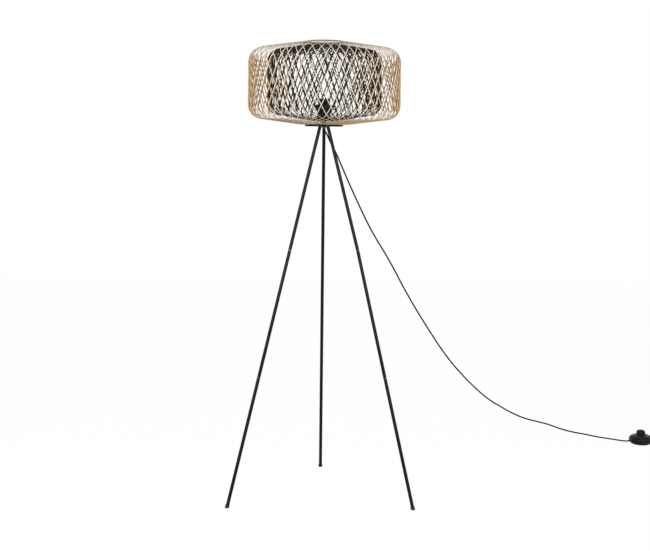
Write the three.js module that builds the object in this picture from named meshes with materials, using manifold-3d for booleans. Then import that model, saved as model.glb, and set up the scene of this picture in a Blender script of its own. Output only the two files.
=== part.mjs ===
// A floor lamp: a double lattice shade on a tripod of thin steel tubes, with a cord, a foot switch and a plug.
// Millimetres, +Z up. The lamp stands on z = 0 and its footprint is centred on the origin.
import * as THREE from 'three';
import * as BufferGeometryUtils from 'three/addons/utils/BufferGeometryUtils.js';
import Module from 'manifold-3d';

const wasm = await Module();
wasm.setup();

// Whole lamp
const lampHeight = 1488;
const shadeHeight = 281;
const footCircleRadius = 339;
const seat = 0.3;
const overrun = 20;
const plateUnderside = lampHeight - shadeHeight;

// Base plate
const plateRadius = 63;
const plateThickness = 3;
const plateTop = plateUnderside + plateThickness;

// Legs: three tubes end to end, screwed on studs
const legRadius = 5.5;
const legWall = 1;
const legTopRadius = 15;
const legSectionCount = 3;
const legStudRadius = 3.9;
const legStudLength = 34;
const jointScrewLength = 36;
const jointGap = 0.5;
const footCapRadius = 6.7;
const footCapHeight = 10;
const footCapEdge = 1.5;
const footPlugRadius = 4;
const footPlugLength = 14;
const upperJointBow = 8;
const lowerJointBow = 4;

// Nipple through the plate, with what sits on it
const nippleRadius = 5;
const nippleBore = 3.3;
const nippleBelow = 5;
const nippleAbove = 22;
const threadClearance = 0.35;
const nutRadius = 7.5;
const nutThickness = 3.2;
const spacerRadius = 8;
const spacerHeight = 13.4;
const bushRadius = 4.6;
const bushHeight = 3;

// Lamp holder
const holderRadius = 20.3;
const holderWall = 2.4;
const capHeight = 22;
const capShoulder = 8;
const capFootRadius = 14;
const shellHeight = 52;
const flangeRadius = 24;
const flangeHeight = 13;
const flangeThickness = 3;
const clampRadius = 28.5;
const clampHeight = 14;
const clampEdge = 1.5;
const coreStart = 2;
const coreHeight = 9;
const screwShellRadius = 14.2;
const screwShellWall = 0.8;
const screwShellHeight = 26;
const contactRadius = 4.5;
const contactHeight = 2;

// Shade frame: bottom ring, bent arms and socket ring, one welded piece
const shadeRingRadius = 64;
const shadeRingWidth = 4;
const shadeRingHeight = 4;
const socketRingRadius = 27;
const socketRingThickness = 2;
const armCount = 3;
const armRadius = 2;
const armElbowRadius = 38;
const armWaistRadius = 43;
const armFootRadius = 50;
const armBendShare = 0.3;

// Outer shade
const outerRadius = 251;
const outerShoulder = 48;
const outerRise = 28;
const outerStripCount = 20;
const outerStripWidth = 7;
const outerThickness = 2.4;

// Inner shade
const innerRadius = 188;
const innerShoulder = 38;
const innerRise = 24;
const innerStripCount = 14;
const innerStripWidth = 6;
const innerThickness = 2;
const innerRingRadius = 48.5;
const innerRingWidth = 3;
const innerRingHeight = 3.6;
const innerLift = 17;
const innerHeight = 250;

// Both shades
const stripSlope = THREE.MathUtils.degToRad(29);
const rimBand = 4;

// Cord
const cordRadius = 2.6;
const cordSides = 8;
const cordDropSteps = 56;
const cordShortSteps = 8;
const cordPitch = 5.8;
const coilRadius = 32;
const coilTurnsPerLayer = 2.375;
const coilClimbTurns = 0.5;
const coilStepsPerTurn = 24;
const coilSides = 6;
const coilX = 1362;
const coilY = 818;
const coilEntryAngle = THREE.MathUtils.degToRad(-65);
const tieWidth = 9;
const tieThickness = 1;
const tieAngle = THREE.MathUtils.degToRad(-160);
const plugLeadLength = 30;

// Foot switch, in its own frame: the cord passes through it along X
const switchX = 1234;
const switchY = 718;
const switchRadius = 45;
const switchFlatRadius = 30;
const switchSeam = 20;
const switchTop = 38;
const switchWall = 2;
const collarRadius = 21;
const collarDepth = 5;
const collarWall = 2;
const buttonRadius = 17;
const buttonClearance = 0.4;
const buttonTop = 56;
const buttonShoulder = 47;
const buttonWall = 2;
const buttonFlange = 2.2;
const buttonTravel = 4;
const pressClearance = 2.7;
const padRadius = 21;
const padThickness = 1.5;
const blockLength = 20;
const blockWidth = 18;
const springRadius = 7;
const springWall = 1.2;
const postRadius = 2.6;
const postPlace = 24.5;
const postFoot = 6;
const switchScrewRadius = 1.2;
const switchScrewHeadRadius = 2.2;
const switchScrewHead = 1.1;
const switchScrewLength = 14;
const reliefRadius = 4.2;
const reliefTip = 3;
const reliefInside = 5;
const reliefOutside = 20;

// Plug, in its own frame: the pins point along +X
const plugLength = 36;
const plugWidth = 35.3;
const plugThickness = 13.7;
const plugEdge = 1;
const plugNeckShare = 0.36;
const plugShoulderShare = 0.55;
const plugReliefLength = 22;
const plugReliefRadius = 5.2;
const pinRadius = 2;
const pinLength = 19;
const pinSpacing = 18.6;

// Facets
const ringSides = 32;
const holderSides = 20;
const smallSides = 12;
const switchSides = 24;
const curveSteps = 3;
const weldDistance = 1e-4;

const up = new THREE.Vector3(0, 0, 1);
const unitScale = new THREE.Vector3(1, 1, 1);

// Materials: each piece gets its own
const blackSteel = () => new THREE.MeshStandardMaterial({ color: 0x1c1c1d, roughness: 0.42, metalness: 0.55 });
const zincSteel = () => new THREE.MeshStandardMaterial({ color: 0x9a9a98, roughness: 0.38, metalness: 0.9 });
const brass = () => new THREE.MeshStandardMaterial({ color: 0xb48b45, roughness: 0.32, metalness: 0.95 });
const blackPlastic = () => new THREE.MeshStandardMaterial({ color: 0x141414, roughness: 0.5, metalness: 0 });
const rubber = () => new THREE.MeshStandardMaterial({ color: 0x101010, roughness: 0.85, metalness: 0 });
const ceramic = () => new THREE.MeshStandardMaterial({ color: 0xe7e2d8, roughness: 0.6, metalness: 0 });
const rattan = () => new THREE.MeshStandardMaterial({ color: 0xc8a67a, roughness: 0.7, metalness: 0 });
const blackRattan = () => new THREE.MeshStandardMaterial({ color: 0x24201d, roughness: 0.6, metalness: 0 });
const sheath = () => new THREE.MeshStandardMaterial({ color: 0x121212, roughness: 0.6, metalness: 0 });

// Geometry helpers

// Six times the enclosed volume, positive when the faces point out.
function signedVolume(geometry) {
  const place = geometry.attributes.position;
  const index = geometry.index;
  const [a, b, c] = [new THREE.Vector3(), new THREE.Vector3(), new THREE.Vector3()];
  let sum = 0;
  for (let i = 0; i < index.count; i += 3) {
    a.fromBufferAttribute(place, index.getX(i));
    b.fromBufferAttribute(place, index.getX(i + 1));
    c.fromBufferAttribute(place, index.getX(i + 2));
    sum += a.dot(b.cross(c));
  }
  return sum;
}

// One closed skin: shared vertices merged, collapsed triangles left out, faces turned outward.
function closed(geometry) {
  geometry.deleteAttribute('normal');
  geometry.deleteAttribute('uv');
  const merged = BufferGeometryUtils.mergeVertices(geometry, weldDistance);
  const corners = merged.index.array;
  const kept = [];
  for (let i = 0; i < corners.length; i += 3) {
    const [a, b, c] = [corners[i], corners[i + 1], corners[i + 2]];
    if (a !== b && b !== c && c !== a) kept.push(a, b, c);
  }
  merged.setIndex(kept);
  if (signedVolume(merged) < 0) merged.setIndex(kept.reverse());
  return merged;
}

// A solid of revolution about Z from an outline of [radius, height] points.
function turned(outline, sides) {
  const points = outline.map(([radius, height]) => new THREE.Vector2(radius, height));
  return closed(new THREE.LatheGeometry(points, sides).rotateX(Math.PI / 2));
}

// A plain ring or sleeve of revolution between two radii and two heights.
function sleeve(inner, outer, low, high, sides) {
  return turned([[inner, low], [outer, low], [outer, high], [inner, high], [inner, low]], sides);
}

// A plain round bar about Z between two heights.
function bar(radius, low, high, sides) {
  return turned([[0, low], [radius, low], [radius, high], [0, high]], sides);
}

// A box by its size, centred in X and Y, standing on the height low.
function block(length, width, height, low) {
  return closed(new THREE.BoxGeometry(length, width, height).translate(0, 0, low + height / 2));
}

// A round bar that follows a curve, with flat ends.
function wire(curve, radius, sides, steps) {
  const corners = [];
  for (let k = 0; k < sides; k += 1) {
    const angle = (k / sides) * Math.PI * 2;
    corners.push(new THREE.Vector2(Math.cos(angle) * radius, Math.sin(angle) * radius));
  }
  const section = new THREE.Shape(corners);
  return closed(new THREE.ExtrudeGeometry(section, { steps, extrudePath: curve, bevelEnabled: false }));
}

function toSolid(geometry) {
  const mesh = new wasm.Mesh({
    numProp: 3,
    vertProperties: new Float32Array(geometry.attributes.position.array),
    triVerts: new Uint32Array(geometry.index.array),
  });
  return new wasm.Manifold(mesh);
}

function fromSolid(solid) {
  const mesh = solid.getMesh();
  const geometry = new THREE.BufferGeometry();
  geometry.setAttribute('position', new THREE.BufferAttribute(mesh.vertProperties, 3));
  geometry.setIndex(new THREE.BufferAttribute(mesh.triVerts, 1));
  return geometry;
}

function joined(first, ...others) {
  return fromSolid(others.reduce((whole, other) => whole.add(toSolid(other)), toSolid(first)));
}

function without(first, ...others) {
  return fromSolid(others.reduce((whole, other) => whole.subtract(toSolid(other)), toSolid(first)));
}

// A named piece in a group.
function piece(group, name, geometry, material) {
  const mesh = new THREE.Mesh(geometry, material);
  mesh.name = name;
  group.add(mesh);
  return mesh;
}

// Stands a piece on one point with its Z axis pointing at another.
function aim(mesh, from, to) {
  mesh.position.copy(from);
  mesh.quaternion.setFromUnitVectors(up, to.clone().sub(from).normalize());
  return mesh;
}

// Stand

function addBasePlate(lamp) {
  const disc = sleeve(nippleRadius + threadClearance, plateRadius, plateUnderside, plateTop, ringSides);
  piece(lamp, 'base_plate', disc, blackSteel());
}

// The leg's axis: hub point, one point for each joint and the point where it meets the floor.
function legAxis(azimuth, bows) {
  const outward = new THREE.Vector3(Math.cos(azimuth), Math.sin(azimuth), 0);
  const hub = outward.clone().multiplyScalar(legTopRadius).setZ(plateUnderside);
  const foot = outward.clone().multiplyScalar(footCircleRadius);
  const run = foot.clone().sub(hub).normalize();
  const side = outward.clone().addScaledVector(run, -outward.dot(run)).normalize();
  const joints = bows.map((bow, k) => {
    const straight = hub.clone().lerp(foot, (k + 1) / legSectionCount);
    return straight.addScaledVector(side, bow);
  });
  return [hub, ...joints, foot];
}

// How far down its own axis a square-ended bar starts to clear the plate above it.
function dropUnderPlate(radius, direction) {
  const fall = -direction.z;
  return (radius * Math.sqrt(1 - fall * fall) + seat) / fall;
}

function addLegStud(lamp, side, axis) {
  const direction = axis[1].clone().sub(axis[0]).normalize();
  const start = axis[0].clone().addScaledVector(direction, dropUnderPlate(legStudRadius, direction));
  const stud = bar(legStudRadius, 0, legStudLength, smallSides);
  aim(piece(lamp, `leg_stud_${side}`, stud, zincSteel()), start, axis[1]);
}

function addLegSections(lamp, side, axis) {
  const names = ['upper', 'middle', 'lower'];
  for (let k = 0; k < legSectionCount; k += 1) {
    const direction = axis[k + 1].clone().sub(axis[k]).normalize();
    const startGap = k === 0 ? dropUnderPlate(legRadius, direction) : jointGap / 2;
    const endGap = k === legSectionCount - 1 ? footCapHeight + seat : jointGap / 2;
    const length = axis[k].distanceTo(axis[k + 1]) - startGap - endGap;
    const tube = sleeve(legRadius - legWall, legRadius, 0, length, smallSides);
    const start = axis[k].clone().addScaledVector(direction, startGap);
    aim(piece(lamp, `leg_${names[k]}_${side}`, tube, blackSteel()), start, axis[k + 1]);
  }
}

function addJointScrews(lamp, side, axis) {
  const names = ['upper', 'lower'];
  for (let k = 1; k < legSectionCount; k += 1) {
    const before = axis[k].clone().sub(axis[k - 1]).normalize();
    const after = axis[k + 1].clone().sub(axis[k]).normalize();
    const direction = before.add(after).normalize();
    const start = axis[k].clone().addScaledVector(direction, -jointScrewLength / 2);
    const end = axis[k].clone().addScaledVector(direction, jointScrewLength / 2);
    const screw = bar(legStudRadius, 0, jointScrewLength, smallSides);
    aim(piece(lamp, `joint_screw_${names[k - 1]}_${side}`, screw, zincSteel()), start, end);
  }
}

// A cap round the tube's end with a plug inside it, cut level with the floor.
function addFootCap(lamp, side, axis) {
  const foot = axis[legSectionCount];
  const outline = [
    [0, -footCapRadius],
    [footCapRadius, -footCapRadius],
    [footCapRadius, footCapHeight - footCapEdge],
    [footCapRadius - footCapEdge, footCapHeight],
    [footPlugRadius, footCapHeight],
    [footPlugRadius, footCapHeight + footPlugLength],
    [0, footCapHeight + footPlugLength],
  ];
  const cap = piece(lamp, `foot_cap_${side}`, turned(outline, smallSides), rubber());
  aim(cap, foot, axis[legSectionCount - 1]);
  const reach = footCapHeight + overrun;
  const toCap = new THREE.Matrix4().compose(cap.position, cap.quaternion, unitScale).invert();
  const ground = block(reach, reach, reach, -reach).translate(foot.x, foot.y, 0).applyMatrix4(toCap);
  cap.geometry = without(cap.geometry, ground);
}

function addLegs(lamp) {
  const legs = [
    { side: 'left', degrees: 210, bows: [0, 0] },
    { side: 'right', degrees: 330, bows: [upperJointBow, lowerJointBow] },
    { side: 'back', degrees: 90, bows: [0, 0] },
  ];
  for (const { side, degrees, bows } of legs) {
    const axis = legAxis(THREE.MathUtils.degToRad(degrees), bows);
    addLegStud(lamp, side, axis);
    addLegSections(lamp, side, axis);
    addJointScrews(lamp, side, axis);
    addFootCap(lamp, side, axis);
  }
}

// Lamp holder, on a threaded nipple through the plate

const spacerLow = plateTop + seat;
const capLow = spacerLow + spacerHeight + seat;
const shellLow = capLow + capHeight + seat;
const flangeTop = shellLow + flangeHeight + flangeThickness;
const socketRingLow = flangeTop + seat;
const clampLow = socketRingLow + socketRingThickness + seat;
const coreLow = shellLow + coreStart;
const coreTop = coreLow + coreHeight;
const nippleLow = plateUnderside - nippleBelow;
const bushLow = nippleLow - seat - bushHeight;

function addNipple(lamp) {
  const hole = nippleRadius + threadClearance;
  const nutHigh = plateUnderside - seat;
  const nipple = sleeve(nippleBore, nippleRadius, nippleLow, plateTop + nippleAbove, smallSides);
  const nut = sleeve(hole, nutRadius, nutHigh - nutThickness, nutHigh, smallSides);
  const spacer = sleeve(hole, spacerRadius, spacerLow, spacerLow + spacerHeight, smallSides);
  const bush = sleeve(cordRadius + seat, bushRadius, bushLow, bushLow + bushHeight, smallSides);
  const lead = bar(cordRadius, bushLow, coreLow - seat, cordSides);
  piece(lamp, 'nipple', nipple, zincSteel());
  piece(lamp, 'nipple_nut', nut, blackSteel());
  piece(lamp, 'holder_spacer', spacer, blackSteel());
  piece(lamp, 'cord_bush', bush, blackPlastic());
  piece(lamp, 'inner_lead', lead, sheath());
}

function addHolder(lamp) {
  const hole = nippleRadius + threadClearance;
  const bore = holderRadius - holderWall;
  const cap = [
    [hole, capLow],
    [capFootRadius, capLow],
    [holderRadius, capLow + capShoulder],
    [holderRadius, capLow + capHeight],
    [bore, capLow + capHeight],
    [bore, capLow + capShoulder + holderWall],
    [capFootRadius, capLow + holderWall],
    [hole, capLow + holderWall],
    [hole, capLow],
  ];
  piece(lamp, 'holder_cap', turned(cap, holderSides), blackPlastic());
  const shell = [
    [bore, shellLow],
    [holderRadius, shellLow],
    [holderRadius, shellLow + flangeHeight],
    [flangeRadius, shellLow + flangeHeight],
    [flangeRadius, flangeTop],
    [holderRadius, flangeTop],
    [holderRadius, shellLow + shellHeight],
    [bore, shellLow + shellHeight],
    [bore, shellLow],
  ];
  piece(lamp, 'holder_shell', turned(shell, holderSides), blackPlastic());
  const thread = holderRadius + threadClearance;
  const clamp = [
    [thread, clampLow],
    [clampRadius, clampLow],
    [clampRadius, clampLow + clampHeight - clampEdge],
    [clampRadius - clampEdge, clampLow + clampHeight],
    [thread, clampLow + clampHeight],
    [thread, clampLow],
  ];
  piece(lamp, 'clamp_ring', turned(clamp, holderSides), blackPlastic());
}

function addHolderInside(lamp) {
  const shellFoot = coreTop + seat;
  const fit = holderRadius - holderWall - threadClearance;
  const bore = screwShellRadius - screwShellWall;
  const screwShell = sleeve(bore, screwShellRadius, shellFoot, shellFoot + screwShellHeight, holderSides);
  piece(lamp, 'holder_core', bar(fit, coreLow, coreTop, holderSides), ceramic());
  piece(lamp, 'screw_shell', screwShell, brass());
  piece(lamp, 'centre_contact', bar(contactRadius, shellFoot, shellFoot + contactHeight, smallSides), brass());
}

// Shade

// One bent arm in the plane of X and Z, from the socket ring down to the bottom ring.
function armGeometry(ringMiddle, footMiddle) {
  const waist = THREE.MathUtils.lerp(ringMiddle, footMiddle, armBendShare);
  const path = new THREE.CurvePath();
  const a = new THREE.Vector3(socketRingRadius - armRadius, 0, ringMiddle);
  const b = new THREE.Vector3(armElbowRadius, 0, ringMiddle);
  const c = new THREE.Vector3(armWaistRadius, 0, waist);
  const d = new THREE.Vector3(armWaistRadius, 0, THREE.MathUtils.lerp(footMiddle, ringMiddle, armBendShare));
  const e = new THREE.Vector3(armFootRadius, 0, footMiddle);
  const f = new THREE.Vector3(shadeRingRadius - armRadius, 0, footMiddle);
  path.add(new THREE.LineCurve3(a, b));
  path.add(new THREE.QuadraticBezierCurve3(b, new THREE.Vector3(armWaistRadius, 0, ringMiddle), c));
  path.add(new THREE.LineCurve3(c, d));
  path.add(new THREE.QuadraticBezierCurve3(d, new THREE.Vector3(armWaistRadius, 0, footMiddle), e));
  path.add(new THREE.LineCurve3(e, f));
  return wire(path, armRadius, cordSides, smallSides);
}

function addShadeFrame(lamp) {
  const low = plateTop + seat;
  const top = low + shadeRingHeight;
  const bottomRing = sleeve(shadeRingRadius - shadeRingWidth, shadeRingRadius, low, top, ringSides);
  const hole = holderRadius + threadClearance;
  const socketRingTop = socketRingLow + socketRingThickness;
  const socketRing = sleeve(hole, socketRingRadius, socketRingLow, socketRingTop, holderSides);
  const ringMiddle = socketRingTop - armRadius;
  const footMiddle = low + shadeRingHeight / 2;
  const arms = [];
  for (let k = 0; k < armCount; k += 1) {
    arms.push(armGeometry(ringMiddle, footMiddle).rotateZ((k / armCount) * Math.PI * 2));
  }
  piece(lamp, 'shade_frame', joined(bottomRing, socketRing, ...arms), blackSteel());
}

// The line that a lantern's skin turns about the axis: a shallow cone, a round shoulder, an upright wall and
// the same again. Each stretch has a start, a heading, a length and, on the shoulders, a turning radius.
function lanternLine({ rimRadius, low, high, radius, shoulder, rise }) {
  const slope = Math.atan2(rise, radius - rimRadius);
  const turn = Math.PI / 2 - slope;
  const tangent = shoulder * Math.tan(turn / 2);
  const coneLength = Math.hypot(rise, radius - rimRadius) - tangent;
  const wallLength = high - low - 2 * (rise + tangent);
  const stretches = [
    { length: coneLength, radius: 0 },
    { length: shoulder * turn, radius: shoulder },
    { length: wallLength, radius: 0 },
    { length: shoulder * turn, radius: shoulder },
    { length: coneLength, radius: 0 },
  ];
  let [r, z, heading, start] = [rimRadius, low, slope, 0];
  for (const stretch of stretches) {
    Object.assign(stretch, { r, z, heading, start });
    const end = follow(stretch, stretch.length);
    [r, z, heading, start] = [end.r, end.z, end.heading, start + stretch.length];
  }
  return { stretches, length: start };
}

// The point a distance along one stretch: straight, or on its arc.
function follow({ r, z, heading, radius }, distance) {
  if (radius === 0) {
    return { r: r + distance * Math.cos(heading), z: z + distance * Math.sin(heading), heading };
  }
  const end = heading + distance / radius;
  return {
    r: r + radius * (Math.sin(end) - Math.sin(heading)),
    z: z + radius * (Math.cos(heading) - Math.cos(end)),
    heading: end,
  };
}

function lineAt(line, distance) {
  const stretch = line.stretches.findLast((one) => one.start <= distance);
  return follow(stretch, distance - stretch.start);
}

// Where the crossings lie along the line. A strip at a steady slope to the upright gains the angle
// tan(slope) / r for each step along it, and two families cross each time it gains half a pitch.
function crossingPlaces(line, stripCount) {
  const steps = 2000;
  const step = line.length / steps;
  const gained = [0];
  for (let k = 0; k < steps; k += 1) {
    gained.push(gained[k] + (Math.tan(stripSlope) / lineAt(line, (k + 0.5) * step).r) * step);
  }
  const total = gained[steps];
  const count = Math.round(total / (Math.PI / stripCount));
  const places = [];
  for (let k = 0; k <= count; k += 1) {
    const wanted = (total * k) / count;
    const at = gained.findIndex((value) => value >= wanted - 1e-9);
    places.push(at * step);
  }
  return places;
}

// A lattice of two families of strips on a lantern line, as one closed body. Every crossing is a pad with
// four corners, every strip between two pads is a face, and the diamonds between them stay open.
function latticeGeometry(line, stripCount, stripWidth, thickness) {
  const places = crossingPlaces(line, stripCount);
  const last = places.length - 1;
  const pitch = (Math.PI * 2) / stripCount;
  const tall = stripWidth / (2 * Math.sin(stripSlope));
  const wide = stripWidth / (2 * Math.cos(stripSlope));
  const points = [];
  const found = new Map();
  const faces = [];

  function point(key, distance, angle) {
    if (!found.has(key)) {
      found.set(key, points.length);
      points.push({ distance, angle });
    }
    return found.get(key);
  }

  // A pad's corner. On the rims the pad ends in the rim's band.
  function corner(ring, column, which) {
    const j = ((column % stripCount) + stripCount) % stripCount;
    const angle = (j + ring / 2) * pitch;
    const rim = ring === 0 ? 1 : ring === last ? -1 : 0;
    const middle = rim === 0 ? places[ring] : places[ring] + rim * rimBand;
    const half = wide / lineAt(line, middle).r;
    const where = {
      left: [middle, angle - half],
      right: [middle, angle + half],
      up: [middle + tall, angle],
      down: [middle - tall, angle],
      edgeLeft: [places[ring], angle - half],
      edgeRight: [places[ring], angle + half],
    }[which];
    return point(`${which} ${ring} ${j}`, where[0], where[1]);
  }

  // A face by its corners, each given as ring, column and name.
  function face(...corners) {
    faces.push(corners.map(([ring, column, which]) => corner(ring, column, which)));
  }

  // A strip from one crossing to the next, in as many lengths as the skin's bend needs.
  function strip(name, right, left) {
    const ends = [right, left].map(([from, to]) => [points[from], points[to]]);
    const [low, high] = ends[0].map(({ distance }) => lineAt(line, distance));
    const lengths = high.heading - low.heading > Math.PI / 8 ? 2 : 1;
    const turns = ends.map(([from, to]) => {
      const rounds = Math.round((from.angle - to.angle) / (Math.PI * 2));
      return rounds * Math.PI * 2;
    });
    const rows = [[right[0], left[0]]];
    for (let k = 1; k < lengths; k += 1) {
      const row = ends.map(([from, to], side) => point(
        `${name} ${side} ${k}`,
        THREE.MathUtils.lerp(from.distance, to.distance, k / lengths),
        THREE.MathUtils.lerp(from.angle, to.angle + turns[side], k / lengths),
      ));
      rows.push(row);
    }
    rows.push([right[1], left[1]]);
    for (let k = 0; k < lengths; k += 1) {
      faces.push([rows[k][0], rows[k + 1][0], rows[k + 1][1], rows[k][1]]);
    }
  }

  for (let j = 0; j < stripCount; j += 1) {
    const k = j + 1;
    face([0, j, 'left'], [0, j, 'right'], [0, j, 'up']);
    face([0, j, 'edgeLeft'], [0, j, 'edgeRight'], [0, j, 'right'], [0, j, 'left']);
    face([0, j, 'edgeRight'], [0, k, 'edgeLeft'], [0, k, 'left'], [0, j, 'right']);
    for (let i = 1; i < last; i += 1) {
      face([i, j, 'left'], [i, j, 'down'], [i, j, 'right'], [i, j, 'up']);
    }
    for (let i = 0; i < last; i += 1) {
      const risingRight = [corner(i, j, 'right'), corner(i + 1, j, 'down')];
      const risingLeft = [corner(i, j, 'up'), corner(i + 1, j, 'left')];
      strip(`rising ${i} ${j}`, risingRight, risingLeft);
      const fallingRight = [corner(i, j, 'up'), corner(i + 1, j - 1, 'right')];
      const fallingLeft = [corner(i, j, 'left'), corner(i + 1, j - 1, 'down')];
      strip(`falling ${i} ${j}`, fallingRight, fallingLeft);
    }
    face([last, j, 'left'], [last, j, 'down'], [last, j, 'right']);
    face([last, j, 'left'], [last, j, 'right'], [last, j, 'edgeRight'], [last, j, 'edgeLeft']);
    face([last, j, 'right'], [last, k, 'left'], [last, k, 'edgeLeft'], [last, j, 'edgeRight']);
  }
  return thickened(points.map(({ distance, angle }) => skinPoint(line, distance, angle)), faces, thickness);
}

// A point of the skin with its outward direction.
function skinPoint(line, distance, angle) {
  const { r, z, heading } = lineAt(line, distance);
  const round = new THREE.Vector3(Math.cos(angle), Math.sin(angle), 0);
  const place = round.clone().multiplyScalar(r).setZ(z);
  const out = round.multiplyScalar(Math.sin(heading)).setZ(-Math.cos(heading));
  return { place, out };
}

// A sheet of faces made solid: the outer faces, the same faces one thickness inside, and a wall on each edge.
function thickened(skin, faces, thickness) {
  const count = skin.length;
  const places = new Float32Array(count * 6);
  skin.forEach(({ place, out }, k) => {
    place.toArray(places, k * 3);
    place.clone().addScaledVector(out, -thickness).toArray(places, (count + k) * 3);
  });
  const index = [];
  const edges = new Map();
  for (const face of faces) {
    for (let k = 1; k + 1 < face.length; k += 1) {
      index.push(face[0], face[k], face[k + 1]);
      index.push(count + face[0], count + face[k + 1], count + face[k]);
    }
    face.forEach((from, k) => {
      const to = face[(k + 1) % face.length];
      if (!edges.delete(`${to} ${from}`)) edges.set(`${from} ${to}`, [from, to]);
    });
  }
  for (const [from, to] of edges.values()) {
    index.push(to, from, count + from);
    index.push(to, count + from, count + to);
  }
  const geometry = new THREE.BufferGeometry();
  geometry.setAttribute('position', new THREE.BufferAttribute(places, 3));
  geometry.setIndex(index);
  return closed(geometry);
}

function addOuterShade(lamp) {
  const middle = plateTop + seat + shadeRingHeight / 2;
  const rimRadius = shadeRingRadius + 2 * seat + (outerThickness * outerRise) / (outerRadius - shadeRingRadius);
  const line = lanternLine({
    rimRadius,
    low: middle - outerThickness / 2,
    high: lampHeight - shadeRingHeight / 2 + outerThickness / 2,
    radius: outerRadius,
    shoulder: outerShoulder,
    rise: outerRise,
  });
  const lattice = latticeGeometry(line, outerStripCount, outerStripWidth, outerThickness);
  const ringLow = lampHeight - shadeRingHeight;
  const ring = sleeve(shadeRingRadius - shadeRingWidth, shadeRingRadius, ringLow, lampHeight, ringSides);
  piece(lamp, 'outer_lattice', lattice, rattan());
  piece(lamp, 'outer_top_ring', ring, blackSteel());
}

function addInnerShade(lamp) {
  const bottom = plateTop + innerLift;
  const top = bottom + innerHeight;
  const rimRadius = innerRingRadius + 2 * seat + (innerThickness * innerRise) / (innerRadius - innerRingRadius);
  const line = lanternLine({
    rimRadius,
    low: bottom - innerThickness / 2,
    high: top + innerThickness / 2,
    radius: innerRadius,
    shoulder: innerShoulder,
    rise: innerRise,
  });
  const hole = innerRingRadius - innerRingWidth;
  const half = innerRingHeight / 2;
  const lattice = latticeGeometry(line, innerStripCount, innerStripWidth, innerThickness);
  const bottomRing = sleeve(hole, innerRingRadius, bottom - half, bottom + half, ringSides);
  const topRing = sleeve(hole, innerRingRadius, top - half, top + half, ringSides);
  piece(lamp, 'inner_lattice', lattice, blackRattan());
  piece(lamp, 'inner_bottom_ring', bottomRing, blackSteel());
  piece(lamp, 'inner_top_ring', topRing, blackSteel());
}

// Foot switch

const switchHeading = Math.atan2(switchY, switchX);
const baseLow = padThickness + seat;
const coverLow = switchSeam + seat;
const reliefStart = switchRadius - switchWall - reliefInside;
const reliefEnd = switchRadius + reliefOutside;
const buttonFlangeTop = switchTop - collarDepth - seat;
const buttonFlangeLow = buttonFlangeTop - buttonWall;
const blockTop = buttonFlangeLow - buttonTravel - pressClearance;

// Points of a quarter ellipse about a centre, from one angle to another in quarter turns.
function quarter(centre, half, from, to) {
  const points = [];
  for (let k = 0; k <= curveSteps; k += 1) {
    const angle = THREE.MathUtils.lerp(from, to, k / curveSteps) * (Math.PI / 2);
    points.push([centre[0] + half[0] * Math.cos(angle), centre[1] + half[1] * Math.sin(angle)]);
  }
  return points;
}

// The tunnel that the two strain reliefs pass through, half in the base and half in the cover.
function reliefTunnel() {
  const reach = switchRadius + overrun;
  return bar(reliefRadius + seat, -reach, reach, smallSides).rotateY(Math.PI / 2).translate(0, 0, switchSeam);
}

function switchScrewHoles() {
  const radius = switchScrewRadius + threadClearance;
  const depth = switchScrewLength + baseLow + seat;
  return [-1, 1].map((side) => bar(radius, 0, depth, smallSides).translate(0, side * postPlace, 0));
}

function addSwitchShells(unit) {
  const width = switchRadius - switchFlatRadius;
  const base = [
    [0, baseLow],
    ...quarter([switchFlatRadius, switchSeam], [width, switchSeam - baseLow], -1, 0),
    ...quarter([switchFlatRadius, switchSeam], [width - switchWall, switchSeam - baseLow - switchWall], 0, -1),
    [0, baseLow + switchWall],
  ];
  const baseShell = without(turned(base, switchSides), reliefTunnel(), ...switchScrewHoles());
  piece(unit, 'switch_base', baseShell, blackPlastic());
  const reach = switchRadius - collarRadius;
  const hole = buttonRadius + buttonClearance;
  const cover = [
    ...quarter([collarRadius, coverLow], [reach, switchTop - coverLow], 0, 1),
    [hole, switchTop],
    [hole, switchTop - collarDepth],
    [hole + collarWall, switchTop - collarDepth],
    [hole + collarWall, switchTop - switchWall],
    ...quarter([collarRadius, coverLow], [reach - switchWall, switchTop - coverLow - switchWall], 1, 0),
    [switchRadius, coverLow],
  ];
  const posts = [-1, 1].map((side) => (
    bar(postRadius, postFoot, switchTop - switchWall / 2, smallSides).translate(0, side * postPlace, 0)
  ));
  const shell = joined(turned(cover, switchSides), ...posts);
  piece(unit, 'switch_cover', without(shell, reliefTunnel(), ...switchScrewHoles()), blackPlastic());
}

function addSwitchButton(unit) {
  const bore = buttonRadius - buttonWall;
  const dome = buttonTop - buttonShoulder;
  const outline = [
    ...quarter([0, buttonShoulder], [buttonRadius, dome], 1, 0),
    [buttonRadius, buttonFlangeTop],
    [buttonRadius + buttonFlange, buttonFlangeTop],
    [buttonRadius + buttonFlange, buttonFlangeLow],
    [bore, buttonFlangeLow],
    ...quarter([0, buttonShoulder], [bore, dome - buttonWall], 0, 1),
  ];
  piece(unit, 'switch_button', turned(outline, holderSides), blackPlastic());
}

// How high a ring of one radius reaches under the button's dome.
function underDome(radius) {
  const across = radius / (buttonRadius - buttonWall);
  return buttonShoulder + (buttonTop - buttonWall - buttonShoulder) * Math.sqrt(1 - across * across);
}

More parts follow.
